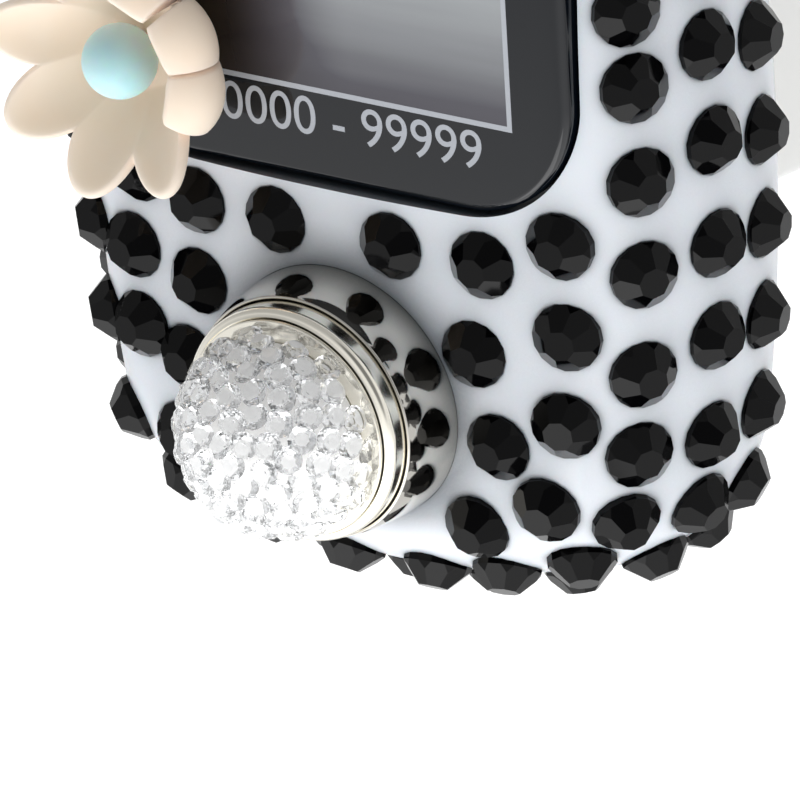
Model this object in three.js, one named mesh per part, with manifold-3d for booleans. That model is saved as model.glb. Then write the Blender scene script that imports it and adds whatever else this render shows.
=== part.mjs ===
// A digital finger counter: a white pebble-shaped case covered in black stones, a window with a
// liquid-crystal display, a chrome push button crowned with clear crystals, a flower glued to the
// window, and a soft band that goes round the finger. Millimetres, +Z is the way the display faces,
// +Y is the top of the display, and z = 0 is the flat underside of the finger band.

import * as THREE from "three";
import { mergeVertices } from "three/addons/utils/BufferGeometryUtils.js";
import Module from "manifold-3d";

const wasm = await Module();
wasm.setup();

// Driving sizes of the case
const CASE_WIDTH = 29.1;
const CASE_LENGTH = 39.1;
const SIDE_ARC_RADIUS = 90;
const END_ARC_RADIUS = 29;
const CORNER_RADIUS = 6.7;
const CROWN_RADIUS = 90;
const EDGE_RADIUS = 3.9;
const EDGE_END_ANGLE = 55;
const FLANK_RADIUS = 9.0;
const FLANK_END_ANGLE = 112;
const BACK_EDGE_RADIUS = 4.0;
const WALL = 1.3;
const SEAM_DEPTH = 11.3;
const SEAM_GAP = 0.15;
const FIT = 0.15;
const STACK_GAP = 0.05;

// Driving sizes of the finger band
const FINGER_HEIGHT = 15.8;
const BAND_THICKNESS = 1.6;
const BAND_WIDTH = 11.0;
const BAND_FOOT_WIDTH = 12.0;
const BAND_HALF_SPAN = 11.4;
const BAND_FOOT_CURVE = 0.6;
const BAND_SIDE_CURVE = 2.6;
const BAND_PIN_CURVE = 3.4;
const PIN_RADIUS = 0.6;
const PIN_OFFSET_X = 9.3;
const PIN_DROP = 1.55;
const EYE_RADIUS = 1.5;
const LUG_THICKNESS = 1.2;

// Driving sizes of the window and the display
const WINDOW_SIDE_MARGIN = 3.25;
const WINDOW_END_MARGIN = 4.45;
const WINDOW_WIDTH = CASE_WIDTH - 2 * WINDOW_SIDE_MARGIN;
const WINDOW_HEIGHT = 16.4;
const WINDOW_CENTRE_Y = CASE_LENGTH / 2 - WINDOW_END_MARGIN - WINDOW_HEIGHT / 2;
const WINDOW_CORNER = 5.0;
const WINDOW_BEVEL = 0.35;
const WINDOW_BELOW_CROWN = 0.35;
const LENS_THICKNESS = 1.2;
const FRAME_PAD_DEPTH = 1.0;
const DISPLAY_SIDE_MARGIN = 2.4;
const DISPLAY_WIDTH = WINDOW_WIDTH - 2 * DISPLAY_SIDE_MARGIN;
const DISPLAY_HEIGHT = 13.0;
const DISPLAY_ABOVE_MIDDLE = 0.8;
const DISPLAY_CENTRE_Y = WINDOW_CENTRE_Y + DISPLAY_ABOVE_MIDDLE;
const DISPLAY_LEDGE = 1.8;
const ZEBRA_MARGIN = 0.3;
const VIEW_SIDE_MARGIN = 0.3;
const VIEW_WIDTH = DISPLAY_WIDTH - 2 * VIEW_SIDE_MARGIN;
const VIEW_HEIGHT = 10.8;
const VIEW_ABOVE_MIDDLE = 0.15;
const VIEW_CENTRE_Y = DISPLAY_CENTRE_Y + VIEW_ABOVE_MIDDLE;
const VIEW_CORNER = 1.0;
const GLASS_THICKNESS = 0.55;
const REFLECTOR_THICKNESS = 0.15;
const HOLDER_HEIGHT = 1.6;

// Driving sizes of the circuit board
const BOARD_SIDE_ROOM = 3.35;
const BOARD_END_ROOM = 3.85;
const BOARD_WIDTH = CASE_WIDTH - 2 * BOARD_SIDE_ROOM;
const BOARD_LENGTH = CASE_LENGTH - 2 * BOARD_END_ROOM;
const BOARD_THICKNESS = 0.8;
const BOARD_CORNER = 3.0;
const CHIP_Y = -7.0;
const CHIP_RADIUS = 3.2;
const CHIP_HEIGHT = 1.2;

// Driving sizes of the push button
const BUTTON_CENTRE_Y = -10.15;
const COLLAR_BASE_RADIUS = 5.4;
const COLLAR_RIM_RADIUS = 5.08;
const COLLAR_BORE_RADIUS = 4.95;
const COLLAR_SKIRT_HEIGHT = 2.75;
const COLLAR_HEIGHT = 2.85;
const COLLAR_RECESS = 0.45;
const CAP_RADIUS = 4.85;
const CAP_WALL = 0.6;
const CAP_STAND = 1.1;
const CAP_ROUNDING = 0.25;
const BEZEL_RADIUS = 4.5;
const BEZEL_HEIGHT = 0.2;
const CAP_FLANGE_RADIUS = 5.35;
const CAP_FLANGE_THICKNESS = 0.5;
const BUTTON_TRAVEL = 0.7;
const STEM_RADIUS = 1.4;
const CRYSTAL_DOME_RADIUS = 4.35;
const CRYSTAL_DOME_RELIEF = 0.3;
const RUBBER_BASE_RADIUS = 3.2;
const RUBBER_TOP_RADIUS = 1.8;
const RUBBER_WALL = 0.5;
const RUBBER_FOOT_HEIGHT = 0.4;
const PILL_RADIUS = 1.0;
const PILL_THICKNESS = 0.35;

// Driving sizes of the battery bay
const CELL_RADIUS = 5.8;
const CELL_HEIGHT = 3.05;
const CELL_CENTRE_Y = 8.6;
const DOOR_WIDTH = 13.0;
const DOOR_THICKNESS = 1.15;
const DOOR_START_Y = 1.9;
const DOOR_TONGUE = 0.45;
const BAY_WALL = 0.8;
const GRIP_START_Y = 11.2;
const GRIP_WIDTH = 0.55;
const GRIP_LENGTH = 6.0;
const GRIP_DEPTH = 0.25;
const LIP_HEIGHT = 1.3;
const LIP_THICKNESS = 0.9;
const POST_X = 9.4;
const POST_Y = -4.5;
const POST_RADIUS = 1.1;
const NEGATIVE_WIDTH = 2.4;
const POSITIVE_WIDTH = 2.2;
const CONTACT_THICKNESS = 0.2;

// Driving sizes of the screws
const SCREW_FROM_CORNER_X = 3.33;
const SCREW_FROM_CORNER_Y = 1.05;
const SCREW_RADIUS = 0.65;
const SCREW_HEAD_RADIUS = 1.15;
const SCREW_HEAD_HEIGHT = 0.6;
const SCREW_SINK = 0.5;
const SCREW_LENGTH = 5.8;
const BOSS_RADIUS = 1.4;

// Driving sizes of the stones and the flower
const STONE_DIAMETER = 2.8;
const STONE_HEIGHT = 0.95;
const STONE_TABLE = 1.3;
const STONE_ROOT = 0.35;
const STONE_GIRDLE = 0.05;
const STONE_SIDES = 8;
const STONE_PITCH = 3.95;
const FLOWER_INSET = 3.45;
const FLOWER_X = FLOWER_INSET - WINDOW_WIDTH / 2;
const FLOWER_BELOW_MIDDLE = 3.6;
const FLOWER_Y = WINDOW_CENTRE_Y - FLOWER_BELOW_MIDDLE;
const PETAL_REACH = 5.2;
const PETAL_WIDTH = 2.95;
const PETAL_THICKNESS = 0.7;
const PETAL_RISE = 3.2;
const PETAL_CURL = 1.15;
const PETAL_ROOT_SHARE = 0.55;
const PETAL_WIDEST_SHARE = 0.7;
const PETAL_CUP = 0.35;
const PETAL_EDGE_THINNING = 0.35;
const CURL_TIP_RADIUS = 3.2;
const CURL_HEIGHT = 2.35;
const CURL_BEND = 0.5;
const FLOWER_FLOOR_RADIUS = 1.7;
const FLOWER_FLOOR_THICKNESS = 0.9;
const BEAD_RADIUS = 1.5;

// Heights worked out from the driving sizes
const radians = THREE.MathUtils.degToRad;
const HALF_WIDTH = CASE_WIDTH / 2;
const HALF_LENGTH = CASE_LENGTH / 2;
const profile = caseProfile();
const CASE_THICKNESS = profile.thickness;
const BACK_Z = FINGER_HEIGHT + BAND_THICKNESS;
const TOP_Z = BACK_Z + CASE_THICKNESS;
const SEAM_Z = TOP_Z - SEAM_DEPTH;
const FLOOR_Z = BACK_Z + WALL;
const WINDOW_Z = TOP_Z - WINDOW_BELOW_CROWN;
const LENS_FLOOR_Z = WINDOW_Z - LENS_THICKNESS - STACK_GAP;
const PAD_Z = LENS_FLOOR_Z - FRAME_PAD_DEPTH;
const FRONT_GLASS_Z = PAD_Z - STACK_GAP - GLASS_THICKNESS;
const REAR_GLASS_Z = FRONT_GLASS_Z - STACK_GAP - GLASS_THICKNESS;
const REFLECTOR_Z = REAR_GLASS_Z - STACK_GAP - REFLECTOR_THICKNESS;
const HOLDER_Z = REFLECTOR_Z - STACK_GAP - HOLDER_HEIGHT;
const BOARD_TOP_Z = HOLDER_Z - STACK_GAP;
const BOARD_Z = BOARD_TOP_Z - BOARD_THICKNESS;
const BUTTON_Z = faceHeight(0, BUTTON_CENTRE_Y);
const COLLAR_SEAT_Z = BUTTON_Z - COLLAR_RECESS;
const COLLAR_TOP_Z = BUTTON_Z + COLLAR_HEIGHT;
const CAP_TOP_Z = COLLAR_TOP_Z + CAP_STAND;
const BUTTON_PAD_Z = BUTTON_Z - WALL - COLLAR_RECESS;
const FLANGE_TOP_Z = BUTTON_PAD_Z - FIT;
const RUBBER_BASE_Z = BOARD_TOP_Z + STACK_GAP;
const PILL_Z = BOARD_TOP_Z + BUTTON_TRAVEL + 4 * STACK_GAP;
const RUBBER_ROOF_Z = PILL_Z + PILL_THICKNESS + STACK_GAP;
const RUBBER_TOP_Z = RUBBER_ROOF_Z + 1.5 * RUBBER_WALL;
const STEM_END_Z = RUBBER_TOP_Z + STACK_GAP;
const DOOR_TOP_Z = BACK_Z + DOOR_THICKNESS;
const CELL_Z = DOOR_TOP_Z + 2 * STACK_GAP;
const BAY_TOP_Z = CELL_Z + CELL_HEIGHT - WALL / 3;
const BAY_FLOOR_Z = FLOOR_Z + WALL / 2;
const PIN_Z = BACK_Z - PIN_DROP;

// Geometry helpers

function plain(geometry) {
  geometry.deleteAttribute("normal");
  geometry.deleteAttribute("uv");
  return mergeVertices(geometry, 1e-4);
}

function solid(geometry) {
  const merged = plain(geometry);
  const mesh = new wasm.Mesh({
    numProp: 3,
    vertProperties: new Float32Array(merged.attributes.position.array),
    triVerts: new Uint32Array(merged.index.array),
  });
  return new wasm.Manifold(mesh);
}

function shape(manifold) {
  const mesh = manifold.getMesh();
  const geometry = new THREE.BufferGeometry();
  geometry.setAttribute("position", new THREE.BufferAttribute(new Float32Array(mesh.vertProperties), 3));
  geometry.setIndex(new THREE.BufferAttribute(new Uint32Array(mesh.triVerts), 1));
  return geometry;
}

function join(...solids) {
  return solids.reduce((sum, next) => sum.add(next));
}

function cut(from, ...tools) {
  return tools.reduce((rest, tool) => rest.subtract(tool), from);
}

function block(x0, x1, y0, y1, z0, z1) {
  const geometry = new THREE.BoxGeometry(x1 - x0, y1 - y0, z1 - z0);
  geometry.translate((x0 + x1) / 2, (y0 + y1) / 2, (z0 + z1) / 2);
  return geometry;
}

function rod(x, y, z0, z1, radius, sides = 24, topRadius = radius) {
  const geometry = new THREE.CylinderGeometry(topRadius, radius, z1 - z0, sides);
  geometry.rotateX(Math.PI / 2);
  geometry.translate(x, y, (z0 + z1) / 2);
  return geometry;
}

// A turned piece: the outline is a closed loop of [radius, z] corners, listed counterclockwise.
function turned(x, y, corners, sides = 32) {
  const points = [...corners, corners[0]].map(([r, z]) => new THREE.Vector2(r, z));
  const geometry = new THREE.LatheGeometry(points, sides);
  geometry.rotateX(Math.PI / 2);
  geometry.translate(x, y, 0);
  return geometry;
}

function roundedPlate(width, height, centreY, corner, z0, z1, steps = 5) {
  const outline = new THREE.Shape();
  const w = width / 2;
  const h = height / 2;
  outline.moveTo(-w + corner, -h);
  outline.lineTo(w - corner, -h);
  outline.absarc(w - corner, -h + corner, corner, -Math.PI / 2, 0, false);
  outline.lineTo(w, h - corner);
  outline.absarc(w - corner, h - corner, corner, 0, Math.PI / 2, false);
  outline.lineTo(-w + corner, h);
  outline.absarc(-w + corner, h - corner, corner, Math.PI / 2, Math.PI, false);
  outline.lineTo(-w, -h + corner);
  outline.absarc(-w + corner, -h + corner, corner, Math.PI, 1.5 * Math.PI, false);
  const geometry = new THREE.ExtrudeGeometry(outline, {
    depth: z1 - z0, bevelEnabled: false, curveSegments: steps,
  });
  geometry.translate(0, centreY, z0);
  return geometry;
}

// Closed skin over a stack of rings that all have the same number of points.
function loft(rings, startPoint, endPoint) {
  const count = rings[0].length;
  const positions = [];
  const index = [];
  for (const ring of rings) {
    for (const point of ring) {
      positions.push(point.x, point.y, point.z);
    }
  }
  const start = rings.length * count;
  positions.push(startPoint.x, startPoint.y, startPoint.z);
  positions.push(endPoint.x, endPoint.y, endPoint.z);
  for (let i = 0; i < count; i++) {
    const j = (i + 1) % count;
    index.push(start, i, j);
    for (let r = 0; r + 1 < rings.length; r++) {
      const a = r * count;
      const b = a + count;
      index.push(a + i, b + i, b + j);
      index.push(a + i, b + j, a + j);
    }
    const last = (rings.length - 1) * count;
    index.push(last + j, last + i, start + 1);
  }
  const geometry = new THREE.BufferGeometry();
  geometry.setAttribute("position", new THREE.Float32BufferAttribute(positions, 3));
  geometry.setIndex(index);
  return geometry;
}

// The case: its outline, seen from the front, is two side arcs, two end arcs and four corner arcs

function outlineArcs() {
  const sideX = HALF_WIDTH - SIDE_ARC_RADIUS;
  const endY = HALF_LENGTH - END_ARC_RADIUS;
  const a = SIDE_ARC_RADIUS - CORNER_RADIUS;
  const b = END_ARC_RADIUS - CORNER_RADIUS;
  const distance = Math.hypot(sideX, endY);
  const along = (a * a - b * b + distance * distance) / (2 * distance);
  const across = Math.sqrt(a * a - along * along);
  const ux = -sideX / distance;
  const uy = endY / distance;
  const cornerX = sideX + along * ux - across * uy;
  const cornerY = along * uy + across * ux;
  return {
    sideX, endY, cornerX, cornerY,
    sideEnd: Math.atan2(cornerY, cornerX - sideX),
    endStart: Math.atan2(cornerY - endY, cornerX),
  };
}

// A point of the outline whose outward direction is at the given angle, in radians.
function outlinePoint(angle) {
  const arcs = outlineArcs();
  const nx = Math.cos(angle);
  const ny = Math.sin(angle);
  const steep = Math.atan2(Math.abs(ny), Math.abs(nx));
  const sx = Math.sign(nx) || 1;
  const sy = Math.sign(ny) || 1;
  let x = 0;
  let y = 0;
  if (steep <= arcs.sideEnd) {
    x = arcs.sideX + SIDE_ARC_RADIUS * Math.cos(steep);
    y = SIDE_ARC_RADIUS * Math.sin(steep);
  } else if (steep <= arcs.endStart) {
    x = arcs.cornerX + CORNER_RADIUS * Math.cos(steep);
    y = arcs.cornerY + CORNER_RADIUS * Math.sin(steep);
  } else {
    x = END_ARC_RADIUS * Math.cos(steep);
    y = arcs.endY + END_ARC_RADIUS * Math.sin(steep);
  }
  return { x: sx * x, y: sy * y, nx, ny };
}

// Outward directions at which the case is drawn: few on the long arcs, more on the corners.
function outlineAngles() {
  const arcs = outlineArcs();
  const quarter = [0, arcs.sideEnd / 2, arcs.sideEnd];
  const cornerSteps = 5;
  for (let i = 1; i <= cornerSteps; i++) {
    quarter.push(arcs.sideEnd + (arcs.endStart - arcs.sideEnd) * i / cornerSteps);
  }
  quarter.push((2 * arcs.endStart + Math.PI / 2) / 3, (arcs.endStart + Math.PI) / 3);
  const half = [...quarter, Math.PI / 2, ...quarter.slice(1).reverse().map((a) => Math.PI - a)];
  return [...half, ...half.map((a) => a + Math.PI)];
}

// The section: crown, front edge, flank and back edge are arcs that run into each other. It gives
// the distance from the middle plane and the depth below the crown for a slope angle in degrees.
function caseProfile() {
  const edgeEnd = Math.sin(radians(EDGE_END_ANGLE));
  const flankInset = FLANK_RADIUS * (1 - edgeEnd);
  const crownSine = (CASE_WIDTH / 2 - flankInset - EDGE_RADIUS * edgeEnd) / (CROWN_RADIUS - EDGE_RADIUS);
  const crownEnd = THREE.MathUtils.radToDeg(Math.asin(crownSine));
  const arcs = [
    [CROWN_RADIUS, 0, crownEnd],
    [EDGE_RADIUS, crownEnd, EDGE_END_ANGLE],
    [FLANK_RADIUS, EDGE_END_ANGLE, FLANK_END_ANGLE],
    [BACK_EDGE_RADIUS, FLANK_END_ANGLE, 180],
  ];
  const at = (slope) => {
    let x = 0;
    let depth = 0;
    for (const [radius, from, to] of arcs) {
      const end = Math.min(slope, to);
      if (end > from) {
        x += radius * (Math.sin(radians(end)) - Math.sin(radians(from)));
        depth += radius * (Math.cos(radians(from)) - Math.cos(radians(end)));
      }
    }
    return { x, depth };
  };
  return { at, crownEnd, thickness: at(180).depth };
}

// Height of the face above a place in plan: the crown is shallow and the front edge rolls over it.
function faceHeight(x, y) {
  const edge = profile.at(profile.crownEnd);
  const edgeInset = HALF_WIDTH - edge.x;
  let inset = CASE_WIDTH;
  let share = 0;
  let nearestBearing = Math.PI;
  for (let i = 0; i < 720; i++) {
    const p = outlinePoint(Math.PI * i / 360);
    const ex = p.x - edgeInset * p.nx;
    const ey = p.y - edgeInset * p.ny;
    const bearing = Math.abs(Math.atan2(x * ey - y * ex, x * ex + y * ey));
    if (bearing < nearestBearing) {
      nearestBearing = bearing;
      share = Math.hypot(x, y) / Math.hypot(ex, ey);
    }
    inset = Math.min(inset, Math.hypot(p.x - x, p.y - y));
  }
  if (share <= 1) {
    return TOP_Z - edge.depth * share * share;
  }
  const slope = bisect(profile.crownEnd, 90, (s) => profile.at(s).x < HALF_WIDTH - inset);
  return TOP_Z - profile.at(slope).depth;
}

// The value between low and high where a test turns from true to false.
function bisect(low, high, stillBelow) {
  let from = low;
  let to = high;
  for (let i = 0; i < 40; i++) {
    const middle = (from + to) / 2;
    if (stillBelow(middle)) {
      from = middle;
    } else {
      to = middle;
    }
  }
  return from;
}

// A ring of the case at one slope, moved inwards along its normals by an offset.
function caseRing(slope, offset = 0) {
  const { x, depth } = profile.at(slope);
  const side = Math.sin(radians(slope));
  const rise = Math.cos(radians(slope));
  const inset = HALF_WIDTH - x + offset * side;
  const z = TOP_Z - depth - offset * rise;
  return outlineAngles().map((angle) => {
    const p = outlinePoint(angle);
    return new THREE.Vector3(p.x - inset * p.nx, p.y - inset * p.ny, z);
  });
}

// A level ring that keeps a fixed inset from the widest outline.
function levelRing(inset, z) {
  return outlineAngles().map((angle) => {
    const p = outlinePoint(angle);
    return new THREE.Vector3(p.x - inset * p.nx, p.y - inset * p.ny, z);
  });
}

function crownRings(offset = 0) {
  const edge = caseRing(profile.crownEnd, offset);
  const top = TOP_Z - offset;
  return [1 / 3, 2 / 3].map((share) => edge.map((p) => new THREE.Vector3(
    p.x * share, p.y * share, top - (top - p.z) * share * share,
  )));
}

function slopeAtDepth(depth) {
  return bisect(90, 180, (slope) => profile.at(slope).depth < depth);
}

const FRONT_SLOPES = [profile.crownEnd, 22, 38, EDGE_END_ANGLE, 70, 85, FLANK_END_ANGLE];
const SEAM_SLOPE = slopeAtDepth(SEAM_DEPTH);
const INNER_INSET = HALF_WIDTH - profile.at(FLANK_END_ANGLE).x + WALL * Math.sin(radians(FLANK_END_ANGLE));

function frontShell() {
  const outer = [...crownRings(), ...FRONT_SLOPES.map((slope) => caseRing(slope)), caseRing(SEAM_SLOPE)];
  const inner = [
    levelRing(INNER_INSET, SEAM_Z),
    ...FRONT_SLOPES.map((slope) => caseRing(slope, WALL)).reverse(),
    ...crownRings(WALL).reverse(),
  ];
  const top = new THREE.Vector3(0, 0, TOP_Z);
  const ceiling = new THREE.Vector3(0, 0, TOP_Z - WALL);
  return loft([...outer, ...inner], top, ceiling);
}

// The whole pebble as one filled form, for trimming what sits inside it.
function filledCase(offset = 0) {
  const rings = [...crownRings(offset), ...FRONT_SLOPES.map((slope) => caseRing(slope, offset))];
  rings.push(caseRing(SEAM_SLOPE, offset), caseRing(150, offset), caseRing(180, offset));
  const bottom = new THREE.Vector3(0, 0, BACK_Z + offset);
  return loft(rings, new THREE.Vector3(0, 0, TOP_Z - offset), bottom);
}

// Stones: three rings round the case, and columns below the window on both sides of the button

const STONE_RINGS = [
  {
    slope: 57, lean: 7, start: 7.5,
    steps: [2.9, 3.8, 4.1, 3.9, 3.6, 3.4, 3.1, 3.75, 3.3, 4.1, 3.9, 3.9, 3.5],
  },
  { slope: 79, lean: 3, start: 5.1, steps: [3.9, 4.1, 4.1, 4.1, 3.45, 3.5] },
  { slope: 100, lean: 0, start: 4.7, steps: [3.7, 4.1, 3.9, 3.9, 3.65, 2.9] },
];
const STONE_COLUMNS = [
  { top: -2.1, pitch: 3.8, places: [10.4, 10.5, 10.2, 9.1] },
  { top: -3.4, pitch: 3.85, places: [7.0, 6.4, 7.2, 5.8] },
  { top: -3.3, pitch: 3.8, places: [2.9] },
  { top: -3.2, pitch: 3.8, places: [-2.5] },
  { top: -3.2, pitch: 3.5, places: [-6.4, -6.6, -7.4, -8.0] },
  { top: -2.5, pitch: 3.4, places: [-9.4, -9.9, -9.8] },
];

function stoneAt(x, y, z, normal) {
  const radius = STONE_DIAMETER / 2;
  const geometry = turned(0, 0, [
    [0, -STONE_ROOT], [radius, -STONE_ROOT], [radius, STONE_GIRDLE],
    [STONE_TABLE / 2, STONE_HEIGHT], [0, STONE_HEIGHT],
  ], STONE_SIDES);
  const turn = new THREE.Quaternion().setFromUnitVectors(new THREE.Vector3(0, 0, 1), normal);
  geometry.applyQuaternion(turn);
  geometry.translate(x, y, z);
  return geometry;
}

// A ring's stones start on the right flank, take the listed steps towards the button end and share
// the rest of the way round equally. The left side of a ring leans inwards by a few degrees.
function ringStones({ slope, lean, start, steps }) {
  const sampleCount = 1440;
  const samples = [];
  let travelled = 0;
  for (let i = 0; i <= sampleCount; i++) {
    const p = outlinePoint(Math.PI / 2 - 2 * Math.PI * i / sampleCount);
    const ownSlope = slope - lean * Math.max(0, -p.nx);
    const { x, depth } = profile.at(ownSlope);
    const inset = HALF_WIDTH - x;
    const place = new THREE.Vector3(p.x - inset * p.nx, p.y - inset * p.ny, TOP_Z - depth);
    if (i > 0) {
      travelled += place.distanceTo(samples.at(-1).place);
    }
    samples.push({ place, travelled, nx: p.nx, ny: p.ny, ownSlope });
  }
  const stations = [samples.find((s) => s.place.x > 0 && s.place.y <= start).travelled];
  for (const step of steps) {
    stations.push(stations.at(-1) + step);
  }
  const rest = stations[0] + travelled - stations.at(-1);
  const restCount = Math.round(rest / STONE_PITCH);
  for (let i = 1; i < restCount; i++) {
    stations.push(stations.at(-1) + rest / restCount);
  }
  return stations.map((station) => {
    const s = samples.find((sample) => sample.travelled >= station % travelled);
    const side = Math.sin(radians(s.ownSlope));
    const normal = new THREE.Vector3(s.nx * side, s.ny * side, Math.cos(radians(s.ownSlope)));
    return stoneAt(s.place.x, s.place.y, s.place.z, normal);
  });
}

function columnStones({ top, pitch, places }) {
  const step = 0.1;
  return places.map((x, i) => {
    const y = top - pitch * i;
    const slopeX = (faceHeight(x + step, y) - faceHeight(x - step, y)) / (2 * step);
    const slopeY = (faceHeight(x, y + step) - faceHeight(x, y - step)) / (2 * step);
    return stoneAt(x, y, faceHeight(x, y), new THREE.Vector3(-slopeX, -slopeY, 1).normalize());
  });
}

function allStones() {
  return [...STONE_RINGS.flatMap(ringStones), ...STONE_COLUMNS.flatMap(columnStones)];
}

// The screws stand in the rounded corners, so they follow the centre of each corner's arc.
function screwPlaces() {
  const { cornerX, cornerY } = outlineArcs();
  const x = cornerX + SCREW_FROM_CORNER_X;
  const y = cornerY + SCREW_FROM_CORNER_Y;
  return [[x, y], [-x, y], [-x, -y], [x, -y]];
}

// The same round rod at all four screws.
function screwRods(z0, z1, radius, sides = 16) {
  return screwPlaces().map(([x, y]) => solid(rod(x, y, z0, z1, radius, sides)));
}

function windowPlate(widen, z0, z1) {
  return solid(roundedPlate(
    WINDOW_WIDTH + 2 * widen, WINDOW_HEIGHT + 2 * widen, WINDOW_CENTRE_Y, WINDOW_CORNER + widen, z0, z1,
  ));
}

function buttonRod(z0, z1, radius) {
  return solid(rod(0, BUTTON_CENTRE_Y, z0, z1, radius, 32));
}

function makeFrontCase() {
  const padding = join(
    windowPlate(WALL, PAD_Z, WINDOW_Z),
    buttonRod(BUTTON_PAD_Z, BUTTON_Z - WALL / 2, COLLAR_BASE_RADIUS + WALL),
    ...screwRods(SEAM_Z, TOP_Z - WALL, BOSS_RADIUS),
  );
  const inside = padding.intersect(solid(filledCase(WALL / 3)));
  const above = TOP_Z + WALL;
  return cut(
    join(solid(frontShell()), inside, ...allStones().map(solid)),
    windowPlate(FIT, LENS_FLOOR_Z, above),
    solid(roundedPlate(VIEW_WIDTH, VIEW_HEIGHT, VIEW_CENTRE_Y, VIEW_CORNER, PAD_Z - WALL, TOP_Z, 2)),
    buttonRod(COLLAR_SEAT_Z, above, COLLAR_BASE_RADIUS + FIT),
    buttonRod(BUTTON_PAD_Z - WALL, TOP_Z, COLLAR_BORE_RADIUS),
    ...screwRods(SEAM_Z - WALL, SEAM_Z + SCREW_LENGTH, SCREW_RADIUS + FIT / 2, 12),
  );
}

// The back cover: a shallow tray with a lip that enters the front case, a bay for the cell, a
// slot for the sliding door and two pairs of lugs for the band pins

function backTray() {
  const topSlope = slopeAtDepth(SEAM_DEPTH + SEAM_GAP);
  const rings = [caseRing(topSlope), caseRing((topSlope + 150) / 2), caseRing(150), caseRing(180)];
  const top = new THREE.Vector3(0, 0, SEAM_Z - SEAM_GAP);
  return solid(loft(rings, top, new THREE.Vector3(0, 0, BACK_Z)));
}

function levelSolid(inset, z0, z1) {
  const rings = [levelRing(inset, z1), levelRing(inset, z0)];
  return solid(loft(rings, new THREE.Vector3(0, 0, z1), new THREE.Vector3(0, 0, z0)));
}

function lug(x, y) {
  const outline = new THREE.Shape();
  outline.moveTo(-EYE_RADIUS, BACK_Z + WALL / 2);
  outline.lineTo(-EYE_RADIUS, PIN_Z);
  outline.absarc(0, PIN_Z, EYE_RADIUS, Math.PI, 2 * Math.PI, false);
  outline.lineTo(EYE_RADIUS, BACK_Z + WALL / 2);
  const geometry = new THREE.ExtrudeGeometry(outline, {
    depth: LUG_THICKNESS, bevelEnabled: false, curveSegments: 8,
  });
  geometry.rotateX(Math.PI / 2);
  geometry.translate(x, y + LUG_THICKNESS / 2, 0);
  return solid(geometry);
}

function lugPlaces() {
  const y = BAND_WIDTH / 2 + FIT + LUG_THICKNESS / 2;
  return [[1, 1], [-1, 1], [-1, -1], [1, -1]].map(([sx, sy]) => [sx * PIN_OFFSET_X, sy * y]);
}

function pinRod(side, radius, length, sides = 12) {
  const geometry = new THREE.CylinderGeometry(radius, radius, length, sides);
  geometry.translate(side * PIN_OFFSET_X, 0, PIN_Z);
  return geometry;
}

function pinHole(side) {
  return solid(pinRod(side, PIN_RADIUS + STACK_GAP, 2 * BAND_WIDTH));
}

function doorSlot(widen) {
  const half = DOOR_WIDTH / 2 + widen;
  const start = DOOR_START_Y - widen;
  const tongueZ = BACK_Z + DOOR_THICKNESS / 2;
  const tongueHalf = DOOR_THICKNESS / 6 + widen / 2;
  return join(
    solid(block(-half, half, start, CASE_LENGTH, BACK_Z - WALL, DOOR_TOP_Z + widen / 2)),
    solid(block(
      -half - DOOR_TONGUE, half + DOOR_TONGUE, start, CASE_LENGTH,
      tongueZ - tongueHalf, tongueZ + tongueHalf,
    )),
  );
}

function supportPosts() {
  return [1, -1].map((side) => solid(rod(
    side * POST_X, POST_Y, FLOOR_Z - WALL / 2, BOARD_Z - STACK_GAP, POST_RADIUS, 12,
  )));
}

// The tray is hollowed out inside its lip; a raised ring and a thicker floor hold the cell.
function makeBackCover() {
  const lipInset = INNER_INSET + FIT;
  const bayRadius = CELL_RADIUS + 2 * FIT;
  const floorHalf = DOOR_WIDTH / 2 + WALL;
  const floorEnd = HALF_LENGTH - BACK_EDGE_RADIUS - WALL;
  const tray = cut(
    join(backTray(), levelSolid(lipInset, SEAM_Z - WALL, SEAM_Z + LIP_HEIGHT)),
    levelSolid(lipInset + LIP_THICKNESS, FLOOR_Z, TOP_Z),
    ...screwRods(SEAM_Z - SEAM_GAP, TOP_Z, BOSS_RADIUS + FIT),
  );
  const body = join(
    tray,
    ...screwRods(BACK_Z + WALL / 2, SEAM_Z - SEAM_GAP, BOSS_RADIUS + FIT),
    ...supportPosts(),
    solid(block(-floorHalf, floorHalf, DOOR_START_Y - WALL, floorEnd, DOOR_TOP_Z - WALL / 4, BAY_FLOOR_Z)),
    solid(rod(0, CELL_CENTRE_Y, FLOOR_Z, BAY_TOP_Z, bayRadius + BAY_WALL, 32)),
    ...lugPlaces().map(([x, y]) => lug(x, y)),
  );
  const contactHalf = POSITIVE_WIDTH / 2 + FIT;
  const contactGap = block(
    CELL_RADIUS, bayRadius + 2 * BAY_WALL, CELL_CENTRE_Y - contactHalf, CELL_CENTRE_Y + contactHalf,
    CELL_Z + CELL_HEIGHT / 5, TOP_Z,
  );
  const sinkTop = BACK_Z + SCREW_SINK + SCREW_HEAD_HEIGHT;
  return cut(
    body,
    solid(rod(0, CELL_CENTRE_Y, BACK_Z, TOP_Z, bayRadius, 32)),
    doorSlot(FIT),
    solid(contactGap),
    ...[1, -1].map((side) => pinHole(side)),
    ...screwRods(BACK_Z - WALL, TOP_Z, SCREW_RADIUS + FIT / 2, 12),
    ...screwRods(BACK_Z - WALL, sinkTop, SCREW_HEAD_RADIUS + FIT),
  );
}

function doorGrips() {
  return [0, 1, 2].map((i) => {
    const y = GRIP_START_Y + 2 * GRIP_WIDTH * i;
    const half = GRIP_LENGTH / 2;
    return solid(block(-half, half, y, y + GRIP_WIDTH, BACK_Z - WALL, BACK_Z + GRIP_DEPTH));
  });
}

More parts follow.
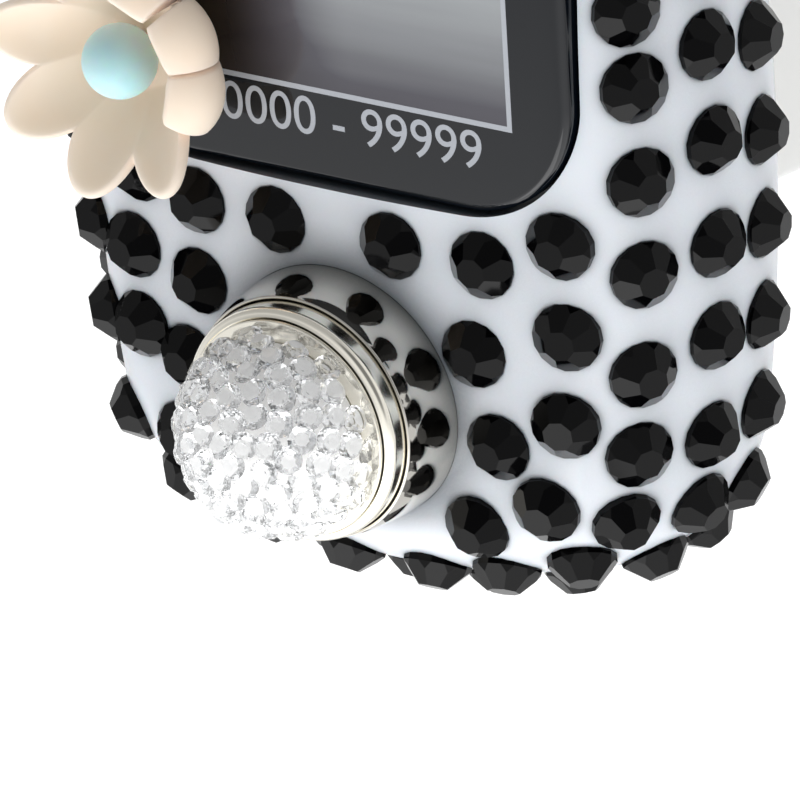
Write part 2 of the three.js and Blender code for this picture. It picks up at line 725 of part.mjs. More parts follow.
function makeBatteryDoor() {
  const half = DOOR_WIDTH / 2;
  const tongueEnd = HALF_LENGTH - BACK_EDGE_RADIUS;
  const beyondTongue = block(-CASE_WIDTH, CASE_WIDTH, tongueEnd, CASE_LENGTH, BACK_Z - WALL, TOP_Z);
  const plate = block(-half, half, DOOR_START_Y, CASE_LENGTH, BACK_Z - WALL, DOOR_TOP_Z);
  const door = cut(doorSlot(0), solid(beyondTongue)).add(solid(plate));
  return cut(door.intersect(solid(filledCase())), ...doorGrips());
}

// Screws, cell and contacts

function makeScrew(x, y) {
  const headZ = BACK_Z + SCREW_SINK;
  const neckZ = headZ + SCREW_HEAD_HEIGHT - STACK_GAP;
  const geometry = turned(x, y, [
    [0, headZ], [SCREW_HEAD_RADIUS, headZ], [SCREW_HEAD_RADIUS, neckZ], [SCREW_RADIUS, neckZ],
    [SCREW_RADIUS, neckZ + SCREW_LENGTH - SCREW_RADIUS], [0, neckZ + SCREW_LENGTH],
  ], 12);
  const slotLength = SCREW_HEAD_RADIUS * 0.7;
  const slotWidth = 0.15;
  const slotZ = headZ + SCREW_HEAD_HEIGHT / 2;
  const across = solid(block(x - slotLength, x + slotLength, y - slotWidth, y + slotWidth, BACK_Z, slotZ));
  const along = solid(block(x - slotWidth, x + slotWidth, y - slotLength, y + slotLength, BACK_Z, slotZ));
  return cut(solid(geometry), across, along);
}

function cellGeometry() {
  const shoulder = CELL_Z + CELL_HEIGHT - 0.35;
  return turned(0, CELL_CENTRE_Y, [
    [0, CELL_Z], [CELL_RADIUS - 0.2, CELL_Z], [CELL_RADIUS, CELL_Z + 0.2], [CELL_RADIUS, shoulder],
    [CELL_RADIUS - 0.8, shoulder], [CELL_RADIUS - 1.0, CELL_Z + CELL_HEIGHT], [0, CELL_Z + CELL_HEIGHT],
  ], 24);
}

function leafSpring(points, width) {
  const outline = new THREE.Shape(points.map(([x, z]) => new THREE.Vector2(x, z)));
  const geometry = new THREE.ExtrudeGeometry(outline, { depth: width, bevelEnabled: false });
  geometry.rotateX(Math.PI / 2);
  geometry.translate(0, CELL_CENTRE_Y + width / 2, 0);
  return geometry;
}

// A bent strip under the board that presses on the middle of the cell.
function negativeContact() {
  const top = BOARD_Z - STACK_GAP;
  const low = CELL_Z + CELL_HEIGHT + STACK_GAP;
  const t = CONTACT_THICKNESS;
  const foot = NEGATIVE_WIDTH / 2;
  return leafSpring([
    [-3.5 * foot, top - t], [-foot, low], [foot, low], [foot, low + t], [t - foot, low + t],
    [4 * t - 3.5 * foot, top - t], [-2 * foot, top - t], [-2 * foot, top], [-3.5 * foot, top],
  ], NEGATIVE_WIDTH);
}

// A strip that hangs from the board beside the cell.
function positiveContact() {
  const inner = CELL_RADIUS + STACK_GAP;
  const t = CONTACT_THICKNESS;
  const top = BOARD_Z - STACK_GAP;
  const low = CELL_Z + CELL_HEIGHT / 4;
  return leafSpring([
    [inner, low], [inner + t, low], [inner + t, top - t], [inner + BAY_WALL * 2, top - t],
    [inner + BAY_WALL * 2, top], [inner, top],
  ], POSITIVE_WIDTH);
}

// Circuit board and what is soldered to it

function makeBoard() {
  const board = roundedPlate(BOARD_WIDTH, BOARD_LENGTH, 0, BOARD_CORNER, BOARD_Z, BOARD_TOP_Z, 4);
  return cut(solid(board), ...screwRods(BOARD_Z - WALL, TOP_Z, BOSS_RADIUS + FIT));
}

function chipBlob() {
  const top = BOARD_Z - STACK_GAP;
  const r = CHIP_RADIUS;
  const h = CHIP_HEIGHT;
  const profileCorners = [[0, top - h], [r / 2, top - 0.9 * h], [0.85 * r, top - h / 2], [r, top], [0, top]];
  return turned(0, CHIP_Y, profileCorners, 16);
}

// A small soldered part under the board, beside the chip.
function boardBlock(side, width, length, height) {
  const top = BOARD_Z - STACK_GAP;
  const x = side * 2 * CHIP_RADIUS;
  return block(x - width / 2, x + width / 2, CHIP_Y, CHIP_Y + length, top - height, top);
}

// Display stack

const DISPLAY_START_Y = DISPLAY_CENTRE_Y - DISPLAY_HEIGHT / 2;
const DISPLAY_END_Y = DISPLAY_CENTRE_Y + DISPLAY_HEIGHT / 2;

// The zebra strip stands on the board in a slot along the start of the display.
function zebraBlock(shrink, z0, z1) {
  const half = DISPLAY_WIDTH / 2 - WALL / 2 - shrink;
  const start = DISPLAY_START_Y + ZEBRA_MARGIN + shrink;
  const end = DISPLAY_START_Y + DISPLAY_LEDGE - shrink;
  return block(-half, half, start, end, z0, z1);
}

function makeHolder() {
  const half = DISPLAY_WIDTH / 2;
  const frame = block(-half, half, DISPLAY_START_Y, DISPLAY_END_Y, HOLDER_Z, HOLDER_Z + HOLDER_HEIGHT);
  const hollow = block(
    WALL - half, half - WALL, DISPLAY_START_Y + DISPLAY_LEDGE + WALL / 2, DISPLAY_END_Y - WALL, 0, TOP_Z,
  );
  return cut(solid(frame), solid(zebraBlock(0, 0, TOP_Z)), solid(hollow));
}

function displayPlate(startY, z, thickness, inset = 0) {
  const half = DISPLAY_WIDTH / 2 - inset;
  return block(-half, half, startY + inset, DISPLAY_END_Y - inset, z, z + thickness);
}

function windowRing(inset, z) {
  const ring = [];
  const w = WINDOW_WIDTH / 2 - WINDOW_CORNER;
  const h = WINDOW_HEIGHT / 2 - WINDOW_CORNER;
  const r = WINDOW_CORNER - inset;
  const steps = 5;
  for (const [sx, sy, turn] of [[1, 1, 0], [-1, 1, 90], [-1, -1, 180], [1, -1, 270]]) {
    for (let i = 0; i <= steps; i++) {
      const angle = radians(turn + 90 * i / steps);
      const x = sx * w + r * Math.cos(angle);
      const y = WINDOW_CENTRE_Y + sy * h + r * Math.sin(angle);
      ring.push(new THREE.Vector3(x, y, z));
    }
  }
  return ring;
}

function lensGeometry() {
  const base = LENS_FLOOR_Z + STACK_GAP;
  const middle = (z) => new THREE.Vector3(0, WINDOW_CENTRE_Y, z);
  const face = windowRing(WINDOW_BEVEL, WINDOW_Z);
  const shoulder = windowRing(0, WINDOW_Z - WINDOW_BEVEL);
  return loft([face, shoulder, windowRing(0, base)], middle(WINDOW_Z), middle(base));
}

// Push button

// The collar's skirt stands upright at the face and leans in towards the rim.
function collarGeometry() {
  const lean = COLLAR_BASE_RADIUS - COLLAR_RIM_RADIUS;
  const skirt = [0, 0.5, 1].map((share) => [
    COLLAR_BASE_RADIUS - lean * share * share, BUTTON_Z + COLLAR_SKIRT_HEIGHT * share,
  ]);
  return turned(0, BUTTON_CENTRE_Y, [
    [COLLAR_BORE_RADIUS, COLLAR_SEAT_Z + STACK_GAP],
    [COLLAR_BASE_RADIUS, COLLAR_SEAT_Z + STACK_GAP],
    ...skirt,
    [COLLAR_RIM_RADIUS - FIT / 3, COLLAR_TOP_Z],
    [COLLAR_BORE_RADIUS, BUTTON_Z + COLLAR_SKIRT_HEIGHT],
  ]);
}

function capGeometry() {
  const innerRadius = CAP_RADIUS - CAP_WALL;
  const shoulderZ = CAP_TOP_Z - BEZEL_HEIGHT;
  const roofZ = shoulderZ - 1.3 * CAP_WALL;
  return turned(0, BUTTON_CENTRE_Y, [
    [0, STEM_END_Z],
    [STEM_RADIUS, STEM_END_Z],
    [STEM_RADIUS, roofZ],
    [innerRadius, roofZ],
    [innerRadius, FLANGE_TOP_Z - CAP_FLANGE_THICKNESS],
    [CAP_FLANGE_RADIUS, FLANGE_TOP_Z - CAP_FLANGE_THICKNESS],
    [CAP_FLANGE_RADIUS, FLANGE_TOP_Z],
    [CAP_RADIUS, FLANGE_TOP_Z],
    [CAP_RADIUS, shoulderZ - CAP_ROUNDING],
    [CAP_RADIUS - CAP_ROUNDING / 3, shoulderZ - CAP_ROUNDING / 3],
    [CAP_RADIUS - CAP_ROUNDING, shoulderZ],
    [BEZEL_RADIUS, shoulderZ],
    [BEZEL_RADIUS, CAP_TOP_Z],
    [0, CAP_TOP_Z],
  ]);
}

// The dome of crystals: every second corner of the grid stands out, like the tips of set stones.
function crystalDomeGeometry() {
  const around = 24;
  const levels = 7;
  const baseZ = CAP_TOP_Z + STACK_GAP;
  const rings = [];
  for (let level = levels - 1; level >= 0; level--) {
    const rise = Math.PI / 2 * level / levels;
    const ring = [];
    for (let i = 0; i < around; i++) {
      const proud = (i + level) % 2 === 0 ? 0 : CRYSTAL_DOME_RELIEF;
      const radius = CRYSTAL_DOME_RADIUS - proud;
      const angle = 2 * Math.PI * i / around;
      ring.push(new THREE.Vector3(
        radius * Math.cos(rise) * Math.cos(angle),
        BUTTON_CENTRE_Y + radius * Math.cos(rise) * Math.sin(angle),
        baseZ + (level === 0 ? 0 : radius * Math.sin(rise)),
      ));
    }
    rings.push(ring);
  }
  const top = new THREE.Vector3(0, BUTTON_CENTRE_Y, baseZ + CRYSTAL_DOME_RADIUS);
  return loft(rings, top, new THREE.Vector3(0, BUTTON_CENTRE_Y, baseZ));
}

function rubberDomeGeometry() {
  return turned(0, BUTTON_CENTRE_Y, [
    [RUBBER_BASE_RADIUS - RUBBER_WALL, RUBBER_BASE_Z],
    [RUBBER_BASE_RADIUS + RUBBER_WALL, RUBBER_BASE_Z],
    [RUBBER_BASE_RADIUS + RUBBER_WALL, RUBBER_BASE_Z + RUBBER_FOOT_HEIGHT],
    [RUBBER_BASE_RADIUS, RUBBER_BASE_Z + RUBBER_FOOT_HEIGHT],
    [RUBBER_TOP_RADIUS, RUBBER_ROOF_Z],
    [RUBBER_TOP_RADIUS, RUBBER_TOP_Z],
    [0, RUBBER_TOP_Z],
    [0, RUBBER_ROOF_Z],
    [RUBBER_TOP_RADIUS - RUBBER_WALL, RUBBER_ROOF_Z],
  ], 16);
}

function pillGeometry() {
  return rod(0, BUTTON_CENTRE_Y, PILL_Z, PILL_Z + PILL_THICKNESS, PILL_RADIUS, 16);
}

// Flower: eight cupped petals that grow out of one round floor, three of them curled up and inwards

const PETALS = [
  { turn: 26, curled: true },
  { turn: 66, curled: true },
  { turn: 117, curled: false },
  { turn: 168, curled: false },
  { turn: 213, curled: false },
  { turn: 258, curled: false },
  { turn: 303, curled: false },
  { turn: 348, curled: true },
];
const PETAL_ROOT_RADIUS = FLOWER_FLOOR_RADIUS / 3;

// The upper side of a petal along its middle: X leads away from the flower's middle, Y is the height.
function openPetalPoint(t) {
  const r = PETAL_ROOT_RADIUS + (PETAL_REACH - PETAL_ROOT_RADIUS) * t;
  const share = Math.max(0, (r - FLOWER_FLOOR_RADIUS) / (PETAL_REACH - FLOWER_FLOOR_RADIUS));
  return new THREE.Vector2(r, PETAL_RISE * Math.pow(share, PETAL_CURL));
}

function curledPetalPoint(t) {
  const bend = new THREE.CubicBezierCurve(
    new THREE.Vector2(PETAL_ROOT_RADIUS, 0),
    new THREE.Vector2(PETAL_REACH + PETAL_THICKNESS / 2 - 1.3 * CURL_BEND, 0),
    new THREE.Vector2(PETAL_REACH + PETAL_THICKNESS / 2 - 0.3 * CURL_BEND, 0.9 * CURL_HEIGHT),
    new THREE.Vector2(CURL_TIP_RADIUS, CURL_HEIGHT),
  );
  return bend.getPoint(t);
}

function petalHalfWidth(t, tipPower) {
  if (t < PETAL_WIDEST_SHARE) {
    return PETAL_WIDTH / 2 * (PETAL_ROOT_SHARE + (1 - PETAL_ROOT_SHARE) * t / PETAL_WIDEST_SHARE);
  }
  const share = (t - PETAL_WIDEST_SHARE) / (1 - PETAL_WIDEST_SHARE);
  return PETAL_WIDTH / 2 * Math.pow(Math.max(0.01, 1 - Math.pow(share, tipPower)), 1 / tipPower);
}

function makePetal({ turn, curled }) {
  const lengthSteps = curled ? 9 : 6;
  const widthSteps = 4;
  const tipPower = curled ? 4 : 2;
  const along = curled ? curledPetalPoint : openPetalPoint;
  const floorZ = WINDOW_Z + STACK_GAP + FLOWER_FLOOR_THICKNESS;
  const rings = [];
  for (let i = 0; i <= lengthSteps; i++) {
    const t = 1 - Math.pow(1 - i / lengthSteps, 1.5);
    const half = petalHalfWidth(t, tipPower);
    const cup = PETAL_CUP * Math.min(1, t / PETAL_WIDEST_SHARE);
    const place = along(t);
    const heading = along(Math.min(1, t + 0.01)).sub(along(Math.max(0, t - 0.01))).normalize();
    const inward = new THREE.Vector2(-heading.y, heading.x);
    const corner = (v, depth) => {
      const offset = cup * v * v - depth * (1 - PETAL_EDGE_THINNING * v * v);
      return new THREE.Vector3(place.x + offset * inward.x, v * half, floorZ + place.y + offset * inward.y);
    };
    const ring = [];
    for (let j = 0; j <= widthSteps; j++) {
      ring.push(corner(2 * j / widthSteps - 1, 0));
    }
    for (let j = widthSteps; j >= 0; j--) {
      ring.push(corner(2 * j / widthSteps - 1, PETAL_THICKNESS));
    }
    rings.push(ring);
  }
  const middle = (ring) => ring.reduce((sum, p) => sum.add(p), new THREE.Vector3()).divideScalar(ring.length);
  const geometry = loft(rings, middle(rings[0]), middle(rings.at(-1)));
  geometry.rotateZ(radians(turn));
  return solid(geometry);
}

function makeFlower() {
  const baseZ = WINDOW_Z + STACK_GAP;
  const floorTop = baseZ + FLOWER_FLOOR_THICKNESS;
  const floor = solid(rod(0, 0, baseZ, floorTop, FLOWER_FLOOR_RADIUS * 0.95, 16, FLOWER_FLOOR_RADIUS * 1.25));
  const below = solid(block(-PETAL_REACH, PETAL_REACH, -PETAL_REACH, PETAL_REACH, baseZ - WALL, baseZ));
  return cut(join(floor, ...PETALS.map(makePetal)), below).translate([FLOWER_X, FLOWER_Y, 0]);
}

function beadGeometry() {
  const geometry = new THREE.SphereGeometry(BEAD_RADIUS, 14, 8);
  geometry.rotateX(Math.PI / 2);
  const floorZ = WINDOW_Z + STACK_GAP + FLOWER_FLOOR_THICKNESS;
  geometry.translate(FLOWER_X, FLOWER_Y, floorZ + 2 * STACK_GAP + BEAD_RADIUS);
  return geometry;
}

// Finger band: one soft strap, seen along the finger, with an eye at each end

// The right half of the strap's middle line: from the foot round the finger and up to the pin.
function bandCurves() {
  const foot = BAND_FOOT_WIDTH / 2;
  const side = BAND_HALF_SPAN - BAND_THICKNESS / 2;
  const low = BAND_THICKNESS / 2;
  const bulgeZ = FINGER_HEIGHT * 0.55;
  const lower = [[foot, low], [side - BAND_FOOT_CURVE, low], [side, bulgeZ / 2], [side, bulgeZ]];
  const pin = [PIN_OFFSET_X, PIN_Z];
  const upper = [[side, bulgeZ], [side, bulgeZ + BAND_SIDE_CURVE], [pin[0], pin[1] - BAND_PIN_CURVE], pin];
  return [lower, upper].map((points) => new THREE.CubicBezierCurve(
    ...points.map(([x, z]) => new THREE.Vector2(x, z)),
  ));
}

function makeBand() {
  const steps = 8;
  const half = BAND_THICKNESS / 2;
  const outer = [];
  const inner = [];
  bandCurves().forEach((curve, order) => {
    for (let i = order; i <= steps; i++) {
      const p = curve.getPoint(i / steps);
      const d = curve.getTangent(i / steps);
      outer.push(new THREE.Vector2(p.x + half * d.y, p.y - half * d.x));
      inner.unshift(new THREE.Vector2(p.x - half * d.y, p.y + half * d.x));
    }
  });
  const right = [...outer, ...inner];
  const left = right.map((p) => new THREE.Vector2(-p.x, p.y)).reverse();
  const strap = new THREE.ExtrudeGeometry(new THREE.Shape([...right, ...left]), {
    depth: BAND_WIDTH, bevelEnabled: false,
  });
  strap.rotateX(Math.PI / 2);
  strap.translate(0, BAND_WIDTH / 2, 0);
  const eyes = [1, -1].map((side) => solid(pinRod(side, EYE_RADIUS - FIT, BAND_WIDTH, 20)));
  return cut(join(solid(strap), ...eyes), pinHole(1), pinHole(-1));
}

// The assembly

const WHITE_ABS = { color: 0xf2f2f4, roughness: 0.18, metalness: 0 };
const DARK_WINDOW = { color: 0x1d1f26, roughness: 0.05, metalness: 0 };
const CLEAR_GLASS = { color: 0xc9d2cf, roughness: 0.05, metalness: 0 };
const REFLECTOR_FOIL = { color: 0x9a9da0, roughness: 0.4, metalness: 0.6 };
const INNER_PLASTIC = { color: 0xe8e8e6, roughness: 0.5, metalness: 0 };
const ZEBRA_RUBBER = { color: 0x4b4a52, roughness: 0.8, metalness: 0 };
const BOARD_GREEN = { color: 0x1f5c36, roughness: 0.5, metalness: 0 };
const BLACK_RESIN = { color: 0x161616, roughness: 0.4, metalness: 0 };
const TAN_CERAMIC = { color: 0xb89b6e, roughness: 0.5, metalness: 0 };
const STEEL = { color: 0xb9bcc0, roughness: 0.3, metalness: 1 };
const CHROME = { color: 0xd8d8dc, roughness: 0.05, metalness: 1 };
const CRYSTAL = { color: 0xe9eef2, roughness: 0.05, metalness: 0 };
const GREY_RUBBER = { color: 0x8d8f94, roughness: 0.7, metalness: 0 };
const PEACH_RESIN = { color: 0xe3c5ae, roughness: 0.55, metalness: 0 };
const BLUE_RESIN = { color: 0xa9d6da, roughness: 0.4, metalness: 0 };
const WHITE_SILICONE = { color: 0xededec, roughness: 0.6, metalness: 0 };

const counter = new THREE.Group();

function place(name, geometry, finish) {
  const mesh = new THREE.Mesh(plain(geometry), new THREE.MeshStandardMaterial(finish));
  mesh.name = name;
  counter.add(mesh);
}

const ledgeY = DISPLAY_START_Y + DISPLAY_LEDGE;
const pinLength = BAND_WIDTH + 2 * (FIT + LUG_THICKNESS);

place("front_case", shape(makeFrontCase()), WHITE_ABS);
place("back_cover", shape(makeBackCover()), WHITE_ABS);
place("window_lens", lensGeometry(), DARK_WINDOW);
place("lcd_front_glass", displayPlate(DISPLAY_START_Y, FRONT_GLASS_Z, GLASS_THICKNESS), CLEAR_GLASS);
place("lcd_rear_glass", displayPlate(ledgeY, REAR_GLASS_Z, GLASS_THICKNESS), CLEAR_GLASS);
place("lcd_reflector", displayPlate(ledgeY, REFLECTOR_Z, REFLECTOR_THICKNESS, FIT), REFLECTOR_FOIL);
place("lcd_holder", shape(makeHolder()), INNER_PLASTIC);
place("zebra_strip", zebraBlock(FIT, BOARD_TOP_Z + STACK_GAP, FRONT_GLASS_Z - STACK_GAP), ZEBRA_RUBBER);
place("circuit_board", shape(makeBoard()), BOARD_GREEN);
place("counter_chip", chipBlob(), BLACK_RESIN);
place("chip_capacitor", boardBlock(1, 1.0, 2.0, 0.8), TAN_CERAMIC);
place("chip_resistor", boardBlock(-1, 0.9, 1.7, 0.5), BLACK_RESIN);
place("button_cell", cellGeometry(), STEEL);
place("contact_negative", negativeContact(), STEEL);
place("contact_positive", positiveContact(), STEEL);
place("battery_door", shape(makeBatteryDoor()), WHITE_ABS);
screwPlaces().forEach(([x, y], i) => place(`case_screw_${i + 1}`, shape(makeScrew(x, y)), STEEL));
place("button_collar", collarGeometry(), CHROME);
place("button_cap", capGeometry(), CHROME);
place("crystal_dome", crystalDomeGeometry(), CRYSTAL);
place("rubber_dome", rubberDomeGeometry(), GREY_RUBBER);
place("carbon_pill", pillGeometry(), BLACK_RESIN);
place("flower", shape(makeFlower()), PEACH_RESIN);
place("flower_bead", beadGeometry(), BLUE_RESIN);
place("finger_band", shape(makeBand()), WHITE_SILICONE);
place("band_pin_right", pinRod(1, PIN_RADIUS, pinLength), STEEL);
place("band_pin_left", pinRod(-1, PIN_RADIUS, pinLength), STEEL);

export default counter;
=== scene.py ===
# %% [markdown]
# # A digital finger counter, dressed from its CAD frame
# The CAD model gives every piece its size, its place and its body. This lesson loads it as a fixed
# frame and then gives each piece the look of the real one: a glossy white case set with black
# stones, a dark window, a chrome button crowned with clear crystals, and a moulded flower. Sizes
# are written in millimetres and turned into Blender's metres by one factor.

# %% Load the frame
import math

import bmesh
import bpy
from mathutils import Matrix, Quaternion, Vector


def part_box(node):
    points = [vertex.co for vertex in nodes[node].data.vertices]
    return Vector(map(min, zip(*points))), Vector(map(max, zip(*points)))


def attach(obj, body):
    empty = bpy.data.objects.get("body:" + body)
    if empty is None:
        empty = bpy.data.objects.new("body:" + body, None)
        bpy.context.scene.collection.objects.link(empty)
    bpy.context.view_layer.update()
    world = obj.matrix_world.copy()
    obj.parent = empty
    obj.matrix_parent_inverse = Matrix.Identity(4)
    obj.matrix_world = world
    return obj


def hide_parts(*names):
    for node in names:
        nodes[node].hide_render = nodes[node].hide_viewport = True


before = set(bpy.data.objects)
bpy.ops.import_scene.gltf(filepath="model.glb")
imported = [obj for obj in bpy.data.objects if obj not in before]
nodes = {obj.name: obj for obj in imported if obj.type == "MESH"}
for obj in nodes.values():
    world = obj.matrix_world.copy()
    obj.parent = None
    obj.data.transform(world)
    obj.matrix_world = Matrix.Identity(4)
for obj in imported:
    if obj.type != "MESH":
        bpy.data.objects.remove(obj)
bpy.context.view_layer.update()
MM = 0.001
print("CAD nodes:", len(nodes))

# %% [markdown]
# ## The camera
# The photograph was taken close up with a long lens, so lines hardly converge. The camera looks
# down on the face from the display's upper right, and is rolled until the display stands upright in
# the picture. It is placed from an aim point, two angles, a roll and a distance, which is easier to
# adjust than a rotation written out in full.

# %% Camera
CAMERA_AIM = Vector((4.35, -8.73, 32.62)) * MM
CAMERA_AZIMUTH = 37.4
CAMERA_ELEVATION = 48.0
CAMERA_ROLL = -123.1
CAMERA_DISTANCE = 360 * MM
FRAME_WIDTH_AT_AIM = 30.94 * MM
SENSOR_WIDTH = 36.0


def direction(azimuth, elevation):
    """Unit vector that points at an azimuth and an elevation, in degrees."""
    a = math.radians(azimuth)
    e = math.radians(elevation)
    return Vector((math.cos(a) * math.cos(e), math.sin(a) * math.cos(e), math.sin(e)))


def new_object(name, data):
    """An object with the given data, linked into the scene."""
    thing = bpy.data.objects.new(name, data)
    bpy.context.scene.collection.objects.link(thing)
    return thing


def make_camera():
    towards = direction(CAMERA_AZIMUTH, CAMERA_ELEVATION)
    upright = towards.to_track_quat("Z", "Y")
    roll = Quaternion((0, 0, 1), math.radians(CAMERA_ROLL))
    data = bpy.data.cameras.new("photo_camera")
    data.sensor_width = SENSOR_WIDTH
    data.lens = SENSOR_WIDTH * CAMERA_DISTANCE / FRAME_WIDTH_AT_AIM
    data.clip_start = 0.01
    data.clip_end = 20
    camera = new_object("photo_camera", data)
    camera.rotation_mode = "QUATERNION"
    camera.rotation_quaternion = upright @ roll
    camera.location = CAMERA_AIM + CAMERA_DISTANCE * towards
    bpy.context.scene.camera = camera
    return camera


camera = make_camera()
print("lens, mm:", round(camera.data.lens, 1))

# %% [markdown]
# ## Helpers for materials
# Colours are written as they look on a screen and turned into linear light here. A material is one
# Principled shader. Noise measured in millimetres varies its gloss, its relief or its colour, so
# that no surface looks the same all over.

# %% Material helpers
def linear(hex_colour):
    """A screen colour such as 0xF2F2F4 as linear red, green, blue and alpha."""
    channels = [(hex_colour >> shift & 255) / 255 for shift in (16, 8, 0)]
    light = [c / 12.92 if c <= 0.04045 else ((c + 0.055) / 1.055) ** 2.4 for c in channels]
    return (*light, 1.0)


def add_node(tree, kind, inputs=None, **settings):
    """Adds a node, sets its options, and fills or links its inputs."""
    node = tree.nodes.new(kind)
    for name, value in settings.items():
        setattr(node, name, value)
    for name, value in (inputs or {}).items():
        if isinstance(value, bpy.types.NodeSocket):
            tree.links.new(value, node.inputs[name])
        else:
            node.inputs[name].default_value = value
    return node


def new_material(name, **sockets):
    """A material whose Principled shader has the given sockets set, with spaces for underscores."""
    material = bpy.data.materials.new(name)
    material.use_nodes = True
    shader = material.node_tree.nodes["Principled BSDF"]
    for socket, value in sockets.items():
        shader.inputs[socket.replace("_", " ")].default_value = value
    return material, material.node_tree, shader


def surface_place(tree):
    return add_node(tree, "ShaderNodeTexCoord").outputs["Object"]


def noise(tree, place, size_mm, detail=2.0):
    """Noise whose blotches are about the given size."""
    return add_node(tree, "ShaderNodeTexNoise", {
        "Vector": place, "Scale": 1 / (size_mm * MM), "Detail": detail,
    })


def spread(tree, value, low, high):
    """Maps a value from 0 to 1 onto a range."""
    scale = add_node(tree, "ShaderNodeMapRange", {"Value": value, "To Min": low, "To Max": high})
    return scale.outputs[0]


def multiply(tree, first, second):
    return add_node(tree, "ShaderNodeMath", {0: first, 1: second}, operation="MULTIPLY").outputs[0]


def vary_roughness(tree, shader, cloud, low, high):
    """Makes the gloss patchy, between two values of roughness."""
    tree.links.new(spread(tree, cloud.outputs["Fac"], low, high), shader.inputs["Roughness"])


def add_relief(tree, shader, cloud, strength, depth_mm):
    """Makes the surface a little uneven, to a depth in millimetres."""
    relief = add_node(tree, "ShaderNodeBump", {
        "Height": cloud.outputs["Fac"], "Strength": strength, "Distance": depth_mm * MM,
    })
    tree.links.new(relief.outputs[0], shader.inputs["Normal"])


def colour_by(tree, shader, value, stops):
    """Colours a shader by a value. The stops are rising positions, each with a screen colour."""
    ramp = add_node(tree, "ShaderNodeValToRGB", {"Fac": value})
    elements = ramp.color_ramp.elements
    while len(elements) < len(stops):
        elements.new(0.5)
    for element, (position, colour) in zip(elements, stops):
        element.position = position
        element.color = linear(colour)
    tree.links.new(ramp.outputs[0], shader.inputs["Base Color"])


print("material helpers ready")

# %% [markdown]
# ## Helpers for meshes
# A finished piece keeps its object at the origin, with its place in its mesh, and rides on one body
# of the CAD model. Most pieces are a skin lofted over rings, or turned as on a lathe.

# %% Mesh helpers
def mesh_object(name, vertices_mm, faces, material, smooth_angle=40):
    """A mesh piece from corners in millimetres, with its normals made to point outwards."""
    mesh = bpy.data.meshes.new(name)
    mesh.from_pydata([Vector(v) * MM for v in vertices_mm], [], faces)
    work = bmesh.new()
    work.from_mesh(mesh)
    bmesh.ops.remove_doubles(work, verts=work.verts, dist=1e-7)
    bmesh.ops.recalc_face_normals(work, faces=work.faces)
    work.to_mesh(mesh)
    work.free()
    return add_piece(name, mesh, material, smooth_angle)


def add_piece(name, mesh, material, smooth_angle=40):
    piece = new_object(name, mesh)
    mesh.materials.clear()
    mesh.materials.append(material)
    smooth_up_to(mesh, smooth_angle)
    return piece


def smooth_up_to(mesh, angle):
    """Shades the mesh smoothly, apart from edges where it turns by more than the angle."""
    mesh.shade_smooth()
    if angle < 180:
        mesh.set_sharp_from_angle(angle=math.radians(angle))


def loft(rings, close_start=True, close_end=True):
    """Corners and faces of a skin over rings that all have the same number of points."""
    count = len(rings[0])
    corners = [point for ring in rings for point in ring]
    faces = []
    for r in range(len(rings) - 1):
        for i in range(count):
            j = (i + 1) % count
            a = r * count
            faces.append((a + i, a + j, a + count + j, a + count + i))
    last = (len(rings) - 1) * count
    if close_start:
        faces.append(tuple(range(count)))
    if close_end:
        faces.append(tuple(range(last, last + count)))
    return corners, faces


def turned(name, centre, outline, material, sides=128, smooth_angle=40):
    """A piece of a lathe: the outline is a closed loop of (radius, z) corners."""
    rings = []
    for step in range(sides):
        a = 2 * math.pi * step / sides
        rings.append([
            (centre[0] + r * math.cos(a), centre[1] + r * math.sin(a), z) for r, z in outline
        ])
    corners, faces = loft(rings + rings[:1], False, False)
    return mesh_object(name, corners, faces, material, smooth_angle)


print("mesh helpers ready")

# %% [markdown]
# Holes are cut with Boolean modifiers. The result is then baked into a plain mesh, because a piece
# that is handed over has no modifiers left.

# %% Baking and cutting
def evaluated_copy(piece, name):
    """Bakes a piece's modifiers into a plain mesh and removes the piece."""
    graph = bpy.context.evaluated_depsgraph_get()
    mesh = bpy.data.meshes.new_from_object(piece.evaluated_get(graph))
    materials = list(piece.data.materials)
    bpy.data.objects.remove(piece)
    baked = new_object(name, mesh)
    if not mesh.materials:
        for material in materials:
            mesh.materials.append(material)
    return baked


def cut_away(piece, cutters):
    """Cuts the cutters out of the piece and deletes them."""
    name = piece.name
    for cutter in cutters:
        modifier = piece.modifiers.new("cut", "BOOLEAN")
        modifier.object = cutter
        modifier.operation = "DIFFERENCE"
        modifier.solver = "EXACT"
    piece.name = name + "_uncut"
    baked = evaluated_copy(piece, name)
    for cutter in cutters:
        bpy.data.objects.remove(cutter)
    return baked


print("cutting helpers ready")

# %% [markdown]
# ## Case plastic
# The case is moulded in glossy white plastic. Its surface mirrors the studio softly, and under a
# close lens the gloss is not perfect: it has a faint ripple from the mould, finer than a stone.
# Between the stones and round the collar little light gets down to it, so it is darkened there by
# an ambient occlusion node.

# %% White case plastic
SHADE_REACH = 2.0
SHADED_PLASTIC = 0x485058
LIT_PLASTIC = 0xE2E7EE


def white_case_plastic():
    material, tree, shader = new_material(
        "white_abs_gloss", Base_Color=linear(0xEEF0F3), IOR=1.5, Roughness=0.22,
        Subsurface_Weight=0.15, Subsurface_Scale=0.6 * MM, Coat_Weight=0.3, Coat_Roughness=0.06,
    )
    place = surface_place(tree)
    vary_roughness(tree, shader, noise(tree, place, 4.0), 0.16, 0.3)
    add_relief(tree, shader, noise(tree, place, 1.5), 0.15, 0.01)
    openness = add_node(
        tree, "ShaderNodeAmbientOcclusion", {"Distance": SHADE_REACH * MM}, samples=8)
    stops = ((0.45, SHADED_PLASTIC), (0.98, LIT_PLASTIC))
    colour_by(tree, shader, openness.outputs["AO"], stops)
    return material


